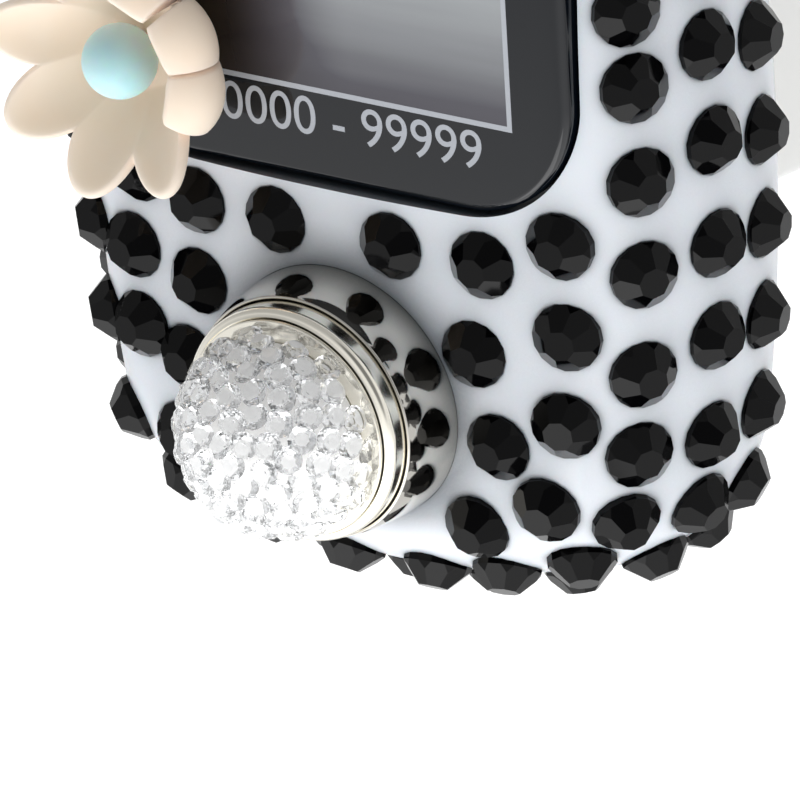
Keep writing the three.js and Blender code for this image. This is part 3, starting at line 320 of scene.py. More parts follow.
WHITE_CASE = white_case_plastic()
print("made", WHITE_CASE.name)

# %% [markdown]
# ## The case, front shell
# The case is a pebble: seen from the front its outline is an oval of eight arcs, and its section is
# a chain of four arcs, crown, front edge, flank and back edge. Lofting rings of one slope each
# follows the CAD exactly, with many more points, so that the gloss runs over it without facets.

# %% Case section
CASE_WIDTH = 29.1
CASE_LENGTH = 39.1
SIDE_ARC_RADIUS = 90.0
END_ARC_RADIUS = 29.0
CORNER_RADIUS = 6.7
CROWN_RADIUS = 90.0
EDGE_RADIUS = 3.9
EDGE_END_ANGLE = 55.0
FLANK_RADIUS = 9.0
FLANK_END_ANGLE = 112.0
BACK_EDGE_RADIUS = 4.0
BACK_Z = 17.4
WALL = 1.3
SEAM_DEPTH = 11.3
HALF_WIDTH = CASE_WIDTH / 2
HALF_LENGTH = CASE_LENGTH / 2


def crown_end():
    edge = math.sin(math.radians(EDGE_END_ANGLE))
    reach = HALF_WIDTH - FLANK_RADIUS * (1 - edge) - EDGE_RADIUS * edge
    return math.degrees(math.asin(reach / (CROWN_RADIUS - EDGE_RADIUS)))


CROWN_END = crown_end()
SECTION_ARCS = (
    (CROWN_RADIUS, 0, CROWN_END),
    (EDGE_RADIUS, CROWN_END, EDGE_END_ANGLE),
    (FLANK_RADIUS, EDGE_END_ANGLE, FLANK_END_ANGLE),
    (BACK_EDGE_RADIUS, FLANK_END_ANGLE, 180),
)


def section(slope):
    """Distance from the middle plane and depth below the crown where the case has this slope."""
    x = 0.0
    depth = 0.0
    for radius, start, end in SECTION_ARCS:
        stop = min(slope, end)
        if stop > start:
            x += radius * (math.sin(math.radians(stop)) - math.sin(math.radians(start)))
            depth += radius * (math.cos(math.radians(start)) - math.cos(math.radians(stop)))
    return x, depth


TOP_Z = BACK_Z + section(180)[1]
print("case thickness, mm:", round(TOP_Z - BACK_Z, 2))

# %% [markdown]
# The outline is the same in all four quarters: a long side arc, a corner arc and an end arc that
# touch each other. Each point of it is found from the direction in which it faces.

# %% Case outline
def outline_arcs():
    """Centres of the three arcs of a quarter, and the directions in which they touch."""
    side_x = HALF_WIDTH - SIDE_ARC_RADIUS
    end_y = HALF_LENGTH - END_ARC_RADIUS
    a = SIDE_ARC_RADIUS - CORNER_RADIUS
    b = END_ARC_RADIUS - CORNER_RADIUS
    distance = math.hypot(side_x, end_y)
    along = (a * a - b * b + distance * distance) / (2 * distance)
    across = math.sqrt(a * a - along * along)
    ux = -side_x / distance
    uy = end_y / distance
    corner_x = side_x + along * ux - across * uy
    corner_y = along * uy + across * ux
    side_end = math.atan2(corner_y, corner_x - side_x)
    end_start = math.atan2(corner_y - end_y, corner_x)
    return side_x, end_y, corner_x, corner_y, side_end, end_start


SIDE_X, END_Y, CORNER_X, CORNER_Y, SIDE_END, END_START = outline_arcs()


def outline_point(angle):
    """A point of the widest outline and its outward direction."""
    nx = math.cos(angle)
    ny = math.sin(angle)
    steep = math.atan2(abs(ny), abs(nx))
    if steep <= SIDE_END:
        x = SIDE_X + SIDE_ARC_RADIUS * math.cos(steep)
        y = SIDE_ARC_RADIUS * math.sin(steep)
    elif steep <= END_START:
        x = CORNER_X + CORNER_RADIUS * math.cos(steep)
        y = CORNER_Y + CORNER_RADIUS * math.sin(steep)
    else:
        x = END_ARC_RADIUS * math.cos(steep)
        y = END_Y + END_ARC_RADIUS * math.sin(steep)
    return math.copysign(x, nx), math.copysign(y, ny), nx, ny


def steps_between(start, end, count):
    return [start + (end - start) * i / count for i in range(count)]


def outline_angles(side=6, corner=18, end=8):
    quarter = steps_between(0, SIDE_END, side)
    quarter += steps_between(SIDE_END, END_START, corner)
    quarter += steps_between(END_START, math.pi / 2, end)
    half = quarter + [math.pi / 2] + [math.pi - a for a in quarter[:0:-1]]
    return half + [a + math.pi for a in half]


ANGLES = outline_angles()
print("points in a ring:", len(ANGLES))

# %% [markdown]
# A ring of the case joins all the points of one slope. Inner walls use the same rings, set back.

# %% Rings of the case
def level_ring(inset, z):
    """The widest outline, set in by a distance, at one height."""
    ring = []
    for angle in ANGLES:
        x, y, nx, ny = outline_point(angle)
        ring.append((x - inset * nx, y - inset * ny, z))
    return ring


def case_ring(slope, offset=0.0):
    """All the points of the case that have one slope, set inwards by a wall's thickness."""
    x, depth = section(slope)
    side = math.sin(math.radians(slope))
    rise = math.cos(math.radians(slope))
    return level_ring(HALF_WIDTH - x + offset * side, TOP_Z - depth - offset * rise)


def crown_rings(count):
    """Rings that fill the crown, flattest in its middle."""
    rings = []
    for i in range(1, count):
        share = i / count
        rings.append([
            (x * share, y * share, TOP_Z - (TOP_Z - z) * share * share)
            for x, y, z in case_ring(CROWN_END)
        ])
    return rings


def slope_at_depth(depth):
    """The slope of the flank or the back at a depth below the crown, found by halving."""
    low = 90.0
    high = 180.0
    for _ in range(40):
        middle = (low + high) / 2
        if section(middle)[1] < depth:
            low = middle
        else:
            high = middle
    return low


SEAM_SLOPE = slope_at_depth(SEAM_DEPTH)
SEAM_Z = TOP_Z - SEAM_DEPTH
FRONT_SLOPES = steps_between(CROWN_END, EDGE_END_ANGLE, 12)
FRONT_SLOPES += steps_between(EDGE_END_ANGLE, FLANK_END_ANGLE, 10)
FRONT_SLOPES += steps_between(FLANK_END_ANGLE, SEAM_SLOPE, 4)
INNER_INSET = HALF_WIDTH - section(FLANK_END_ANGLE)[0] + WALL
INNER_SLOPES = (FLANK_END_ANGLE, 85, 70, EDGE_END_ANGLE, 38, 22, CROWN_END)
CROWN_RING_COUNT = 14
print("rings on the front's edge and flank:", len(FRONT_SLOPES))

# %% [markdown]
# The front shell is lofted in one go, outside and inside. The pocket of the window, the recess of
# the collar and the hole of the button are then cut with Boolean modifiers.

# %% Front shell
WINDOW_WIDTH = 22.6
WINDOW_HEIGHT = 16.4
WINDOW_CENTRE_Y = 6.9
WINDOW_CORNER = 5.0
WINDOW_BELOW_CROWN = 0.35
WINDOW_Z = TOP_Z - WINDOW_BELOW_CROWN
LENS_THICKNESS = 1.2
BUTTON_CENTRE = (0.0, -10.15)
BUTTON_HOLE_DEPTH = 4.0
FIT = 0.15
STACK_GAP = 0.05
CUT_BEYOND = 2.0
SHELL_SMOOTH_ANGLE = 35
COLLAR_BASE_RADIUS = 5.4
RECESS_GAP = 0.01
COLLAR_BORE_RADIUS = 4.95


def prism(name, outline, z0, z1, material):
    """A block with upright walls: one outline in plan, from one height to another."""
    corners, faces = loft([[(x, y, z) for x, y in outline] for z in (z0, z1)])
    return mesh_object(name, corners, faces, material)


def rectangle(x0, x1, y0, y1):
    return ((x0, y0), (x1, y0), (x1, y1), (x0, y1))


def rounded_rectangle(width, height, centre_y, corner, steps=24):
    outline = []
    w = width / 2 - corner
    h = height / 2 - corner
    for sx, sy, turn in ((1, 1, 0), (-1, 1, 90), (-1, -1, 180), (1, -1, 270)):
        for i in range(steps + 1):
            a = math.radians(turn + 90 * i / steps)
            x = sx * w + corner * math.cos(a)
            y = centre_y + sy * h + corner * math.sin(a)
            outline.append((x, y))
    return outline


def circle(centre, radius, sides=128):
    turns = [2 * math.pi * i / sides for i in range(sides)]
    return [(centre[0] + radius * math.cos(a), centre[1] + radius * math.sin(a)) for a in turns]


collar_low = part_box("button_collar")[0].z / MM
collar_seat = collar_low - STACK_GAP


def front_shell():
    rings = crown_rings(CROWN_RING_COUNT) + [case_ring(slope) for slope in FRONT_SLOPES]
    rings += [case_ring(SEAM_SLOPE), level_ring(INNER_INSET, SEAM_Z)]
    rings += [case_ring(slope, WALL) for slope in INNER_SLOPES]
    corners, faces = loft(rings)
    shell = mesh_object("front_shell", corners, faces, WHITE_CASE)
    window = rounded_rectangle(
        WINDOW_WIDTH + 2 * FIT, WINDOW_HEIGHT + 2 * FIT, WINDOW_CENTRE_Y, WINDOW_CORNER + FIT)
    recess = circle(BUTTON_CENTRE, COLLAR_BASE_RADIUS + RECESS_GAP)
    hole = circle(BUTTON_CENTRE, COLLAR_BORE_RADIUS)
    window_seat = WINDOW_Z - LENS_THICKNESS - STACK_GAP
    above = TOP_Z + CUT_BEYOND
    shell = cut_away(shell, [
        prism("window_pocket", window, window_seat, above, WHITE_CASE),
        prism("collar_recess", recess, collar_seat, above, WHITE_CASE),
        prism("button_hole", hole, TOP_Z - BUTTON_HOLE_DEPTH, above, WHITE_CASE),
    ])
    smooth_up_to(shell.data, SHELL_SMOOTH_ANGLE)
    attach(shell, "case")
    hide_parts("front_case")
    return shell


shell = front_shell()
print("front shell faces:", len(shell.data.polygons))

# %% [markdown]
# ## Black stones
# Flat-back stones are glued on one by one: three rings round the case and columns beside the
# button. Each has an eight-sided table, eight main facets and a row of small ones at the rim. The
# places are points with an outward direction, and a Geometry Nodes tree puts a stone on each, turned
# about its own axis by a fixed-seed random angle, as a hand would.

# %% Black stone glass
def black_stone_glass():
    material, tree, shader = new_material(
        "black_stone_glass", Base_Color=linear(0x030304), IOR=1.54, Roughness=0.03,
        Specular_IOR_Level=0.13,
    )
    vary_roughness(tree, shader, noise(tree, surface_place(tree), 0.8), 0.02, 0.1)
    return material


BLACK_STONE = black_stone_glass()
print("made", BLACK_STONE.name)

# %% [markdown]
# A ring of stones follows a line of one slope round the case, and leans a little on the left side.
# Its first stones have their own distances, read along the line, and the rest share what is left.
# The columns are places in plan, found on the shell by a ray from above.

# %% Stone places
STONE_DIAMETER = 2.8
STONE_HEIGHT = 0.95
STONE_PITCH = 3.95
RING_SAMPLES = 1440
STONE_RINGS = (
    {"slope": 57, "lean": 7, "start": 7.5,
     "steps": (2.9, 3.8, 4.1, 3.9, 3.6, 3.4, 3.1, 3.75, 3.3, 4.1, 3.9, 3.9, 3.5)},
    {"slope": 79, "lean": 3, "start": 5.1, "steps": (3.9, 4.1, 4.1, 4.1, 3.45, 3.5)},
    {"slope": 100, "lean": 0, "start": 4.7, "steps": (3.7, 4.1, 3.9, 3.9, 3.65, 2.9)},
)
STONE_COLUMNS = (
    {"top": -2.1, "pitch": 3.8, "places": (10.4, 10.5, 10.2, 9.1)},
    {"top": -3.4, "pitch": 3.85, "places": (7.0, 6.4, 7.2, 5.8)},
    {"top": -3.3, "pitch": 3.8, "places": (2.9,)},
    {"top": -3.2, "pitch": 3.8, "places": (-2.5,)},
    {"top": -3.2, "pitch": 3.5, "places": (-6.4, -6.6, -7.4, -8.0)},
    {"top": -2.5, "pitch": 3.4, "places": (-9.4, -9.9, -9.8)},
)


def ring_seats(ring):
    """Places and outward directions of one ring's stones, in the order of the CAD model."""
    samples = []
    travelled = 0.0
    for i in range(RING_SAMPLES + 1):
        x, y, nx, ny = outline_point(math.pi / 2 - 2 * math.pi * i / RING_SAMPLES)
        slope = ring["slope"] - ring["lean"] * max(0, -nx)
        reach, depth = section(slope)
        inset = HALF_WIDTH - reach
        place = Vector((x - inset * nx, y - inset * ny, TOP_Z - depth))
        if samples:
            travelled += (place - samples[-1][1]).length
        side = math.sin(math.radians(slope))
        outward = Vector((nx * side, ny * side, math.cos(math.radians(slope))))
        samples.append((travelled, place, outward))
    stations = [next(s[0] for s in samples if s[1].x > 0 and s[1].y <= ring["start"])]
    for step in ring["steps"]:
        stations.append(stations[-1] + step)
    rest = stations[0] + travelled - stations[-1]
    rest_count = round(rest / STONE_PITCH)
    for _ in range(1, rest_count):
        stations.append(stations[-1] + rest / rest_count)
    return [next(s[1:] for s in samples if s[0] >= station % travelled) for station in stations]


def seat_on(surface, x, y):
    """Where a vertical line meets the case, and the case's direction there."""
    above = Vector((x, y, TOP_Z + CUT_BEYOND)) * MM
    _, place, normal, _ = surface.ray_cast(above, Vector((0, 0, -1)))
    return place / MM, normal


def column_seats(surface):
    seats = []
    for column in STONE_COLUMNS:
        for i, x in enumerate(column["places"]):
            seats.append(seat_on(surface, x, column["top"] - column["pitch"] * i))
    return seats


seats = [seat for ring in STONE_RINGS for seat in ring_seats(ring)] + column_seats(shell)
print("stones:", len(seats))

# %% [markdown]
# One stone serves as the pattern of them all. With a point in place of its flat foot it is also the
# pattern of the clear crystals on the button.

# %% Stone pattern
TABLE_SHARE = 0.45
WAIST_SHARE = 0.86
STONE_GIRDLE = 0.08
STONE_ROOT = 0.35


def stone_mesh(name, material, table_share=TABLE_SHARE, height=STONE_HEIGHT,
               girdle=STONE_GIRDLE, root=STONE_ROOT, point=0.0):
    """One stone about the origin, table up: eight main facets, and eight small ones at the rim."""
    radius = STONE_DIAMETER / 2
    table = radius * table_share
    waist = radius * WAIST_SHARE
    slant = radius * math.cos(math.pi / 16) - table * math.cos(math.pi / 8)
    run = (waist - table) * math.cos(math.pi / 8)
    waist_z = height - (height - girdle) * run / slant
    work = bmesh.new()

    def corner(r, eighths, z):
        a = math.pi / 4 * eighths
        return work.verts.new((r * math.cos(a) * MM, r * math.sin(a) * MM, z * MM))

    top = [corner(table, i, height) for i in range(8)]
    middle = [corner(waist, i, waist_z) for i in range(8)]
    rim = [corner(radius, i / 2 - 0.25, girdle) for i in range(16)]
    foot = [corner(radius, i / 2 - 0.25, -root) for i in range(16)]
    work.faces.new(top)
    for i in range(8):
        j = (i + 1) % 8
        next_rim = rim[(2 * i + 2) % 16]
        work.faces.new((top[i], middle[i], rim[2 * i + 1], next_rim, middle[j], top[j]))
        work.faces.new((middle[i], rim[2 * i], rim[2 * i + 1]))
    for i in range(16):
        work.faces.new((rim[i], foot[i], foot[(i + 1) % 16], rim[(i + 1) % 16]))
    if point:
        tip = corner(0, 0, -point)
        for i in range(16):
            work.faces.new((foot[i], tip, foot[(i + 1) % 16]))
    else:
        work.faces.new(foot[::-1])
    bmesh.ops.recalc_face_normals(work, faces=work.faces)
    mesh = bpy.data.meshes.new(name)
    work.to_mesh(mesh)
    work.free()
    mesh.materials.append(material)
    return mesh


stone_pattern = stone_mesh("stone_pattern", BLACK_STONE)
print("faces of one stone:", len(stone_pattern.polygons))

# %% [markdown]
# The setting tree is used twice, for the stones and for the crystals. It puts the pattern on every
# point, leans it a little at random from the point's outward direction, and spins it about its own
# axis. The scale, the lean and the seed are its inputs.

# %% Setting tree
SETTING_INPUTS = {
    "Geometry": "Geometry", "Pattern": "Object", "Material": "Material",
    "Scale": "Float", "Tilt": "Float", "Seed": "Int",
}


def setting_tree(name):
    """Geometry Nodes: a pattern piece on each point, turned to the point's outward direction."""
    tree = bpy.data.node_groups.new(name, "GeometryNodeTree")
    face = tree.interface
    for socket, kind in SETTING_INPUTS.items():
        face.new_socket(socket, in_out="INPUT", socket_type="NodeSocket" + kind)
    face.new_socket("Geometry", in_out="OUTPUT", socket_type="NodeSocketGeometry")
    given = add_node(tree, "NodeGroupInput")
    seed = {"Seed": given.outputs["Seed"]}
    outward = add_node(
        tree, "GeometryNodeInputNamedAttribute", {"Name": "outward"}, data_type="FLOAT_VECTOR")
    tilt = add_node(tree, "FunctionNodeRandomValue", seed, data_type="FLOAT_VECTOR")
    tilt.inputs["Min"].default_value = (-1, -1, -1)
    tilt.inputs["Max"].default_value = (1, 1, 1)
    lean = add_node(tree, "ShaderNodeVectorMath", {0: tilt.outputs["Value"]}, operation="SCALE")
    tree.links.new(given.outputs["Tilt"], lean.inputs["Scale"])
    leaning = add_node(
        tree, "ShaderNodeVectorMath", {0: outward.outputs["Attribute"], 1: lean.outputs[0]})
    spin = add_node(tree, "FunctionNodeRandomValue", seed, data_type="FLOAT")
    spin.inputs["Max"].default_value = 2 * math.pi
    angle = add_node(tree, "ShaderNodeCombineXYZ", {"Z": spin.outputs[1]})
    turn = add_node(
        tree, "FunctionNodeAlignRotationToVector", {"Vector": leaning.outputs[0]}, axis="Z")
    own = add_node(
        tree, "FunctionNodeRotateRotation", {0: turn.outputs[0]}, rotation_space="LOCAL")
    tree.links.new(angle.outputs[0], own.inputs[1])
    pattern = add_node(tree, "GeometryNodeObjectInfo", {"Object": given.outputs["Pattern"]})
    placed = add_node(tree, "GeometryNodeInstanceOnPoints", {
        "Points": given.outputs["Geometry"], "Instance": pattern.outputs["Geometry"],
        "Rotation": own.outputs[0], "Scale": given.outputs["Scale"],
    })
    real = add_node(tree, "GeometryNodeRealizeInstances", {"Geometry": placed.outputs[0]})
    finished = add_node(tree, "GeometryNodeSetMaterial", {
        "Geometry": real.outputs[0], "Material": given.outputs["Material"],
    })
    result = add_node(tree, "NodeGroupOutput")
    tree.links.new(finished.outputs[0], result.inputs["Geometry"])
    return tree


SETTING = setting_tree("stone_setting")
print("nodes in the setting tree:", len(SETTING.nodes))

# %% [markdown]
# The seats become a mesh of loose points. The tree runs on it as a modifier and is baked at once, so
# that all the stones are one plain mesh.

# %% Set the stones
def seat_points(name, seats_mm):
    """A mesh of loose points that carries each seat's outward direction as an attribute."""
    mesh = bpy.data.meshes.new(name)
    mesh.from_pydata([Vector(place) * MM for place, _ in seats_mm], [], [])
    outward = mesh.attributes.new("outward", "FLOAT_VECTOR", "POINT")
    for i, (_, normal) in enumerate(seats_mm):
        outward.data[i].vector = normal
    return new_object(name, mesh)


def set_on_points(name, points, pattern_mesh, material, scale=1.0, tilt=0.0, seed=1):
    """Runs the setting tree and returns its result as one plain mesh piece."""
    pattern = new_object(name + "_pattern", pattern_mesh)
    modifier = points.modifiers.new("setting", "NODES")
    modifier.node_group = SETTING
    values = {"Pattern": pattern, "Material": material, "Scale": scale, "Tilt": tilt, "Seed": seed}
    for item in SETTING.interface.items_tree:
        if item.in_out == "INPUT" and item.name in values:
            modifier[item.identifier] = values[item.name]
    piece = evaluated_copy(points, name)
    bpy.data.objects.remove(pattern)
    if "outward" in piece.data.attributes:
        piece.data.attributes.remove(piece.data.attributes["outward"])
    return piece


stones = set_on_points(
    "black_stones", seat_points("stone_seats", seats), stone_pattern, BLACK_STONE,
    tilt=0.035, seed=7,
)
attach(stones, "case")
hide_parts("front_case")
print("stone faces:", len(stones.data.polygons))

# %% [markdown]
# ## The window
# The window is a clear glossy plate, printed black on its back round the display. The print is so
# close under the gloss that a dark glossy surface gives the same look. The display's frame line and
# the numerals are silver ink, made as very thin raised shapes.

# %% Window finishes
# The display film carries painted shade: darkest at its lower left next to the flower, clearing to
# the right and towards the top.
FILM_SHADE_DARKEST_X = -5.5
FILM_SHADE_CLEAR_X = 1.5
FILM_SHADE_LOW_Y = 2.5
FILM_SHADE_CLEAR_Y = 7.5
FILM_SHADE_LOW_SHARE = 0.45
STREAKS_PER_METRE = (60, 900, 60)
FILM_AND_SHADE_STOPS = ((0.0, 0x1E1612), (0.5, 0x515058), (1.0, 0xA6AAAD))


def dark_window_gloss():
    material, tree, shader = new_material(
        "dark_window_gloss", Base_Color=linear(0x080D14), IOR=1.5, Roughness=0.04,
        Specular_IOR_Level=0.42,
    )
    vary_roughness(tree, shader, noise(tree, surface_place(tree), 6.0, 3.0), 0.02, 0.09)
    return material


def silver_ink():
    material, tree, shader = new_material(
        "silver_ink", Base_Color=linear(0xB2B6BD), Metallic=0.6, Roughness=0.45,
    )
    grain = noise(tree, surface_place(tree), 0.12, 4.0)
    vary_roughness(tree, shader, grain, 0.3, 0.65)
    add_relief(tree, shader, grain, 0.4, 0.01)
    return material


def display_film_and_painted_shade():
    """The display is off: a grey film with painted shade, lighter towards its top and dark towards
    the flower.
    """
    material, tree, shader = new_material("display_film", IOR=1.5, Roughness=0.08)
    place = surface_place(tree)
    axes = add_node(tree, "ShaderNodeSeparateXYZ", {0: place})
    across = add_node(tree, "ShaderNodeMapRange", {
        "Value": axes.outputs["X"], "From Min": FILM_SHADE_DARKEST_X * MM, "From Max": FILM_SHADE_CLEAR_X * MM,
    }, interpolation_type="SMOOTHSTEP")
    upwards = add_node(tree, "ShaderNodeMapRange", {
        "Value": axes.outputs["Y"], "From Min": FILM_SHADE_LOW_Y * MM, "From Max": FILM_SHADE_CLEAR_Y * MM,
        "To Min": FILM_SHADE_LOW_SHARE,
    })
    streaks = add_node(tree, "ShaderNodeMapping", {"Vector": place, "Scale": STREAKS_PER_METRE})
    wave = add_node(tree, "ShaderNodeTexNoise", {
        "Vector": streaks.outputs[0], "Scale": 1.0, "Detail": 2.0,
    })
    soft = spread(tree, wave.outputs["Fac"], 0.85, 1.1)
    # Painted shade: the film darkens towards the flower and towards its bottom.
    shade = multiply(tree, across.outputs[0], upwards.outputs[0])
    colour_by(tree, shader, multiply(tree, shade, soft), FILM_AND_SHADE_STOPS)
    return material


DARK_WINDOW = dark_window_gloss()
SILVER_INK = silver_ink()
DISPLAY_FILM = display_film_and_painted_shade()
print("window finishes:", DARK_WINDOW.name, SILVER_INK.name, DISPLAY_FILM.name)

# %% [markdown]
# The plate has a rounded edge all round. The display shows through it as a film of its own, with the
# frame line drawn round it. The numerals under it are text turned into a mesh and fitted to size.

# %% Window, frame line and numerals
WINDOW_BEVEL = 0.35
VIEW_HALF_WIDTH = 8.6
VIEW_BOTTOM_Y = 2.5
VIEW_TOP_Y = 13.4
FRAME_LINE = 0.22
INK_LIFT = 0.012
NUMERALS = "00000 - 99999"
NUMERAL_HEIGHT = 1.6
NUMERAL_WIDTH = 13.35
NUMERAL_CENTRE = (0.57, 1.36)
BEVEL_STEPS = 6


def window_lens():
    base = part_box("window_lens")[0].z / MM
    levels = [(0.0, base)]
    for i in range(BEVEL_STEPS + 1):
        a = math.radians(90 * i / BEVEL_STEPS)
        inset = WINDOW_BEVEL * (1 - math.cos(a))
        levels.append((inset, WINDOW_Z - WINDOW_BEVEL * (1 - math.sin(a))))
    rings = []
    for inset, z in levels:
        outline = rounded_rectangle(
            WINDOW_WIDTH - 2 * inset, WINDOW_HEIGHT - 2 * inset, WINDOW_CENTRE_Y,
            WINDOW_CORNER - inset,
        )
        rings.append([(x, y, z) for x, y in outline])
    corners, faces = loft(rings)
    lens = mesh_object("window_plate", corners, faces, DARK_WINDOW, 60)
    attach(lens, "case")
    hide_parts("window_lens")


def display_view():
    outline = rectangle(-VIEW_HALF_WIDTH, VIEW_HALF_WIDTH, VIEW_BOTTOM_Y, VIEW_TOP_Y)
    view = prism("display_view", outline, WINDOW_Z, WINDOW_Z + INK_LIFT / 2, DISPLAY_FILM)
    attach(view, "case")


def frame_line():
    """Four thin bars, the long ones with the corners, joined as one mesh."""
    w = VIEW_HALF_WIDTH
    t = FRAME_LINE / 2
    bars = [rectangle(-w - t, w + t, y - t, y + t) for y in (VIEW_BOTTOM_Y, VIEW_TOP_Y)]
    bars += [rectangle(x - t, x + t, VIEW_BOTTOM_Y + t, VIEW_TOP_Y - t) for x in (-w, w)]
    corners = []
    faces = []
    for outline in bars:
        levels = [[(x, y, z) for x, y in outline] for z in (WINDOW_Z, WINDOW_Z + INK_LIFT)]
        more, bar = loft(levels)
        faces += [tuple(len(corners) + i for i in face) for face in bar]
        corners += more
    line = mesh_object("display_frame_line", corners, faces, SILVER_INK)
    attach(line, "case")


def printed_numerals():
    """The numerals as a mesh, stretched to their printed width and height."""
    data = bpy.data.curves.new("numerals", "FONT")
    data.body = NUMERALS
    data.extrude = INK_LIFT * MM
    text = new_object("numerals_text", data)
    bpy.context.view_layer.update()
    numerals = evaluated_copy(text, "printed_numerals")
    points = [v.co for v in numerals.data.vertices]
    low = Vector(min(point[i] for point in points) for i in range(3))
    high = Vector(max(point[i] for point in points) for i in range(3))
    size = high - low
    scale = Matrix.Diagonal((NUMERAL_WIDTH * MM / size.x, NUMERAL_HEIGHT * MM / size.y, 1, 1))
    numerals.data.transform(Matrix.Translation(-(low + high) / 2))
    numerals.data.transform(scale)
    place = Vector((*NUMERAL_CENTRE, WINDOW_Z)) * MM
    numerals.data.transform(Matrix.Translation(place))
    numerals.data.materials.clear()
    numerals.data.materials.append(SILVER_INK)
    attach(numerals, "case")


window_lens()
display_view()
frame_line()
printed_numerals()
print("window done")

# %% [markdown]
# ## The chrome button
# The collar is plated and polished to a mirror: it shows the white case and the stones round it. Its
# shape is a lathe profile with a rounded lip, because a mirror shows every facet. The cap that moves
# inside it is plated plastic, a little less sharp than the collar, and is seen as one thin bright
# ring round the crystals.

# %% Chrome and plated plastic
def mirror_chrome():
    material, tree, shader = new_material(
        "mirror_chrome", Base_Color=linear(0xC8C5BE), Metallic=1.0, Roughness=0.04,
    )
    vary_roughness(tree, shader, noise(tree, surface_place(tree), 1.2, 3.0), 0.02, 0.07)
    return material


def plated_plastic():
    material, tree, shader = new_material(
        "plated_plastic", Base_Color=linear(0xF6F2E6), Metallic=1.0, Roughness=0.16,
    )
    vary_roughness(tree, shader, noise(tree, surface_place(tree), 1.5, 3.0), 0.12, 0.2)
    return material


CHROME = mirror_chrome()
PLATED = plated_plastic()
print("button finishes:", CHROME.name, PLATED.name)

# %% [markdown]
# The collar leans in towards its lip. The cap is hollow, with a stem in its middle that presses the
# switch, and a fine groove cut between its shoulder and its bezel.

# %% Collar and cap
COLLAR_RECESS_DEPTH = 0.45
COLLAR_RIM_RADIUS = 5.08
COLLAR_SKIRT_HEIGHT = 2.75
COLLAR_SKIRT_STEPS = 24
LATHE_AXIS = 0.001
CAP_RADIUS = 4.9
CAP_ROUNDING = 0.3
CAP_EDGE_DROP = 0.05
CAP_SKIRT_DEPTH = 1.2
CAP_WALL = 0.6
CAP_ROOF = 0.7
STEM_RADIUS = 1.4
GROOVE_DEPTH = 0.3
GROOVE_WIDTH = 0.06
GROOVE_FLOOR_WIDTH = 0.05
BEZEL_RADIUS = 4.5
BEZEL_HEIGHT = 0.2
BEZEL_ROUNDING = 0.06
FACE_Z = collar_seat + COLLAR_RECESS_DEPTH
CAP_TOP_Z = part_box("button_cap")[1].z / MM


def arc_points(centre_r, centre_z, radius, start, end, steps):
    """Points of an arc in a lathe profile, between two angles in degrees."""
    points = []
    for i in range(steps + 1):
        a = math.radians(start + (end - start) * i / steps)
        points.append((centre_r + radius * math.cos(a), centre_z + radius * math.sin(a)))
    return points


def collar():
    lean = COLLAR_BASE_RADIUS - COLLAR_RIM_RADIUS
    lip = (COLLAR_RIM_RADIUS - COLLAR_BORE_RADIUS) / 2
    rim_z = FACE_Z + COLLAR_SKIRT_HEIGHT
    profile = [(COLLAR_BORE_RADIUS, collar_low), (COLLAR_BASE_RADIUS, collar_low)]
    for i in range(COLLAR_SKIRT_STEPS + 1):
        share = i / COLLAR_SKIRT_STEPS
        height = FACE_Z + COLLAR_SKIRT_HEIGHT * share
        profile.append((COLLAR_BASE_RADIUS - lean * share ** 2, height))
    profile += arc_points(COLLAR_BORE_RADIUS + lip, rim_z, lip, 20, 180, 8)
    piece = turned("chrome_collar", BUTTON_CENTRE, profile, CHROME, sides=192)
    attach(piece, "case")
    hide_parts("button_collar")


def cap():
    shoulder = CAP_TOP_Z - BEZEL_HEIGHT
    foot = FACE_Z - CAP_SKIRT_DEPTH
    inner = CAP_RADIUS - CAP_WALL
    roof = shoulder - CAP_ROOF
    groove = shoulder - GROOVE_DEPTH
    edge_r = CAP_RADIUS - CAP_ROUNDING
    edge_z = shoulder - CAP_ROUNDING - CAP_EDGE_DROP
    bezel_r = BEZEL_RADIUS - BEZEL_ROUNDING
    bezel_z = CAP_TOP_Z - BEZEL_ROUNDING
    profile = [(LATHE_AXIS, foot), (STEM_RADIUS, foot), (STEM_RADIUS, roof)]
    profile += [(inner, roof), (inner, foot), (CAP_RADIUS, foot)]
    profile += arc_points(edge_r, edge_z, CAP_ROUNDING, 0, 80, 12)
    profile += [(BEZEL_RADIUS + GROOVE_WIDTH, shoulder)]
    profile += [(BEZEL_RADIUS + GROOVE_FLOOR_WIDTH, groove)]
    profile += [(BEZEL_RADIUS, groove), (BEZEL_RADIUS, shoulder)]
    profile += arc_points(bezel_r, bezel_z, BEZEL_ROUNDING, 0, 90, 4)
    profile += [(LATHE_AXIS, CAP_TOP_Z)]
    piece = turned("plated_cap", BUTTON_CENTRE, profile, PLATED, sides=192)
    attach(piece, "button")
    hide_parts("button_cap")


collar()
cap()
print("button top, mm:", round(CAP_TOP_Z, 2))

# %% [markdown]
# ## The crystals
# The cap carries a dome paved with small clear crystals over a bright bed. They lie close together
# but in no rows, as crystals do that were strewn by hand. A crystal is the same kind of shape as a
# stone, only smaller, clear and pointed underneath.

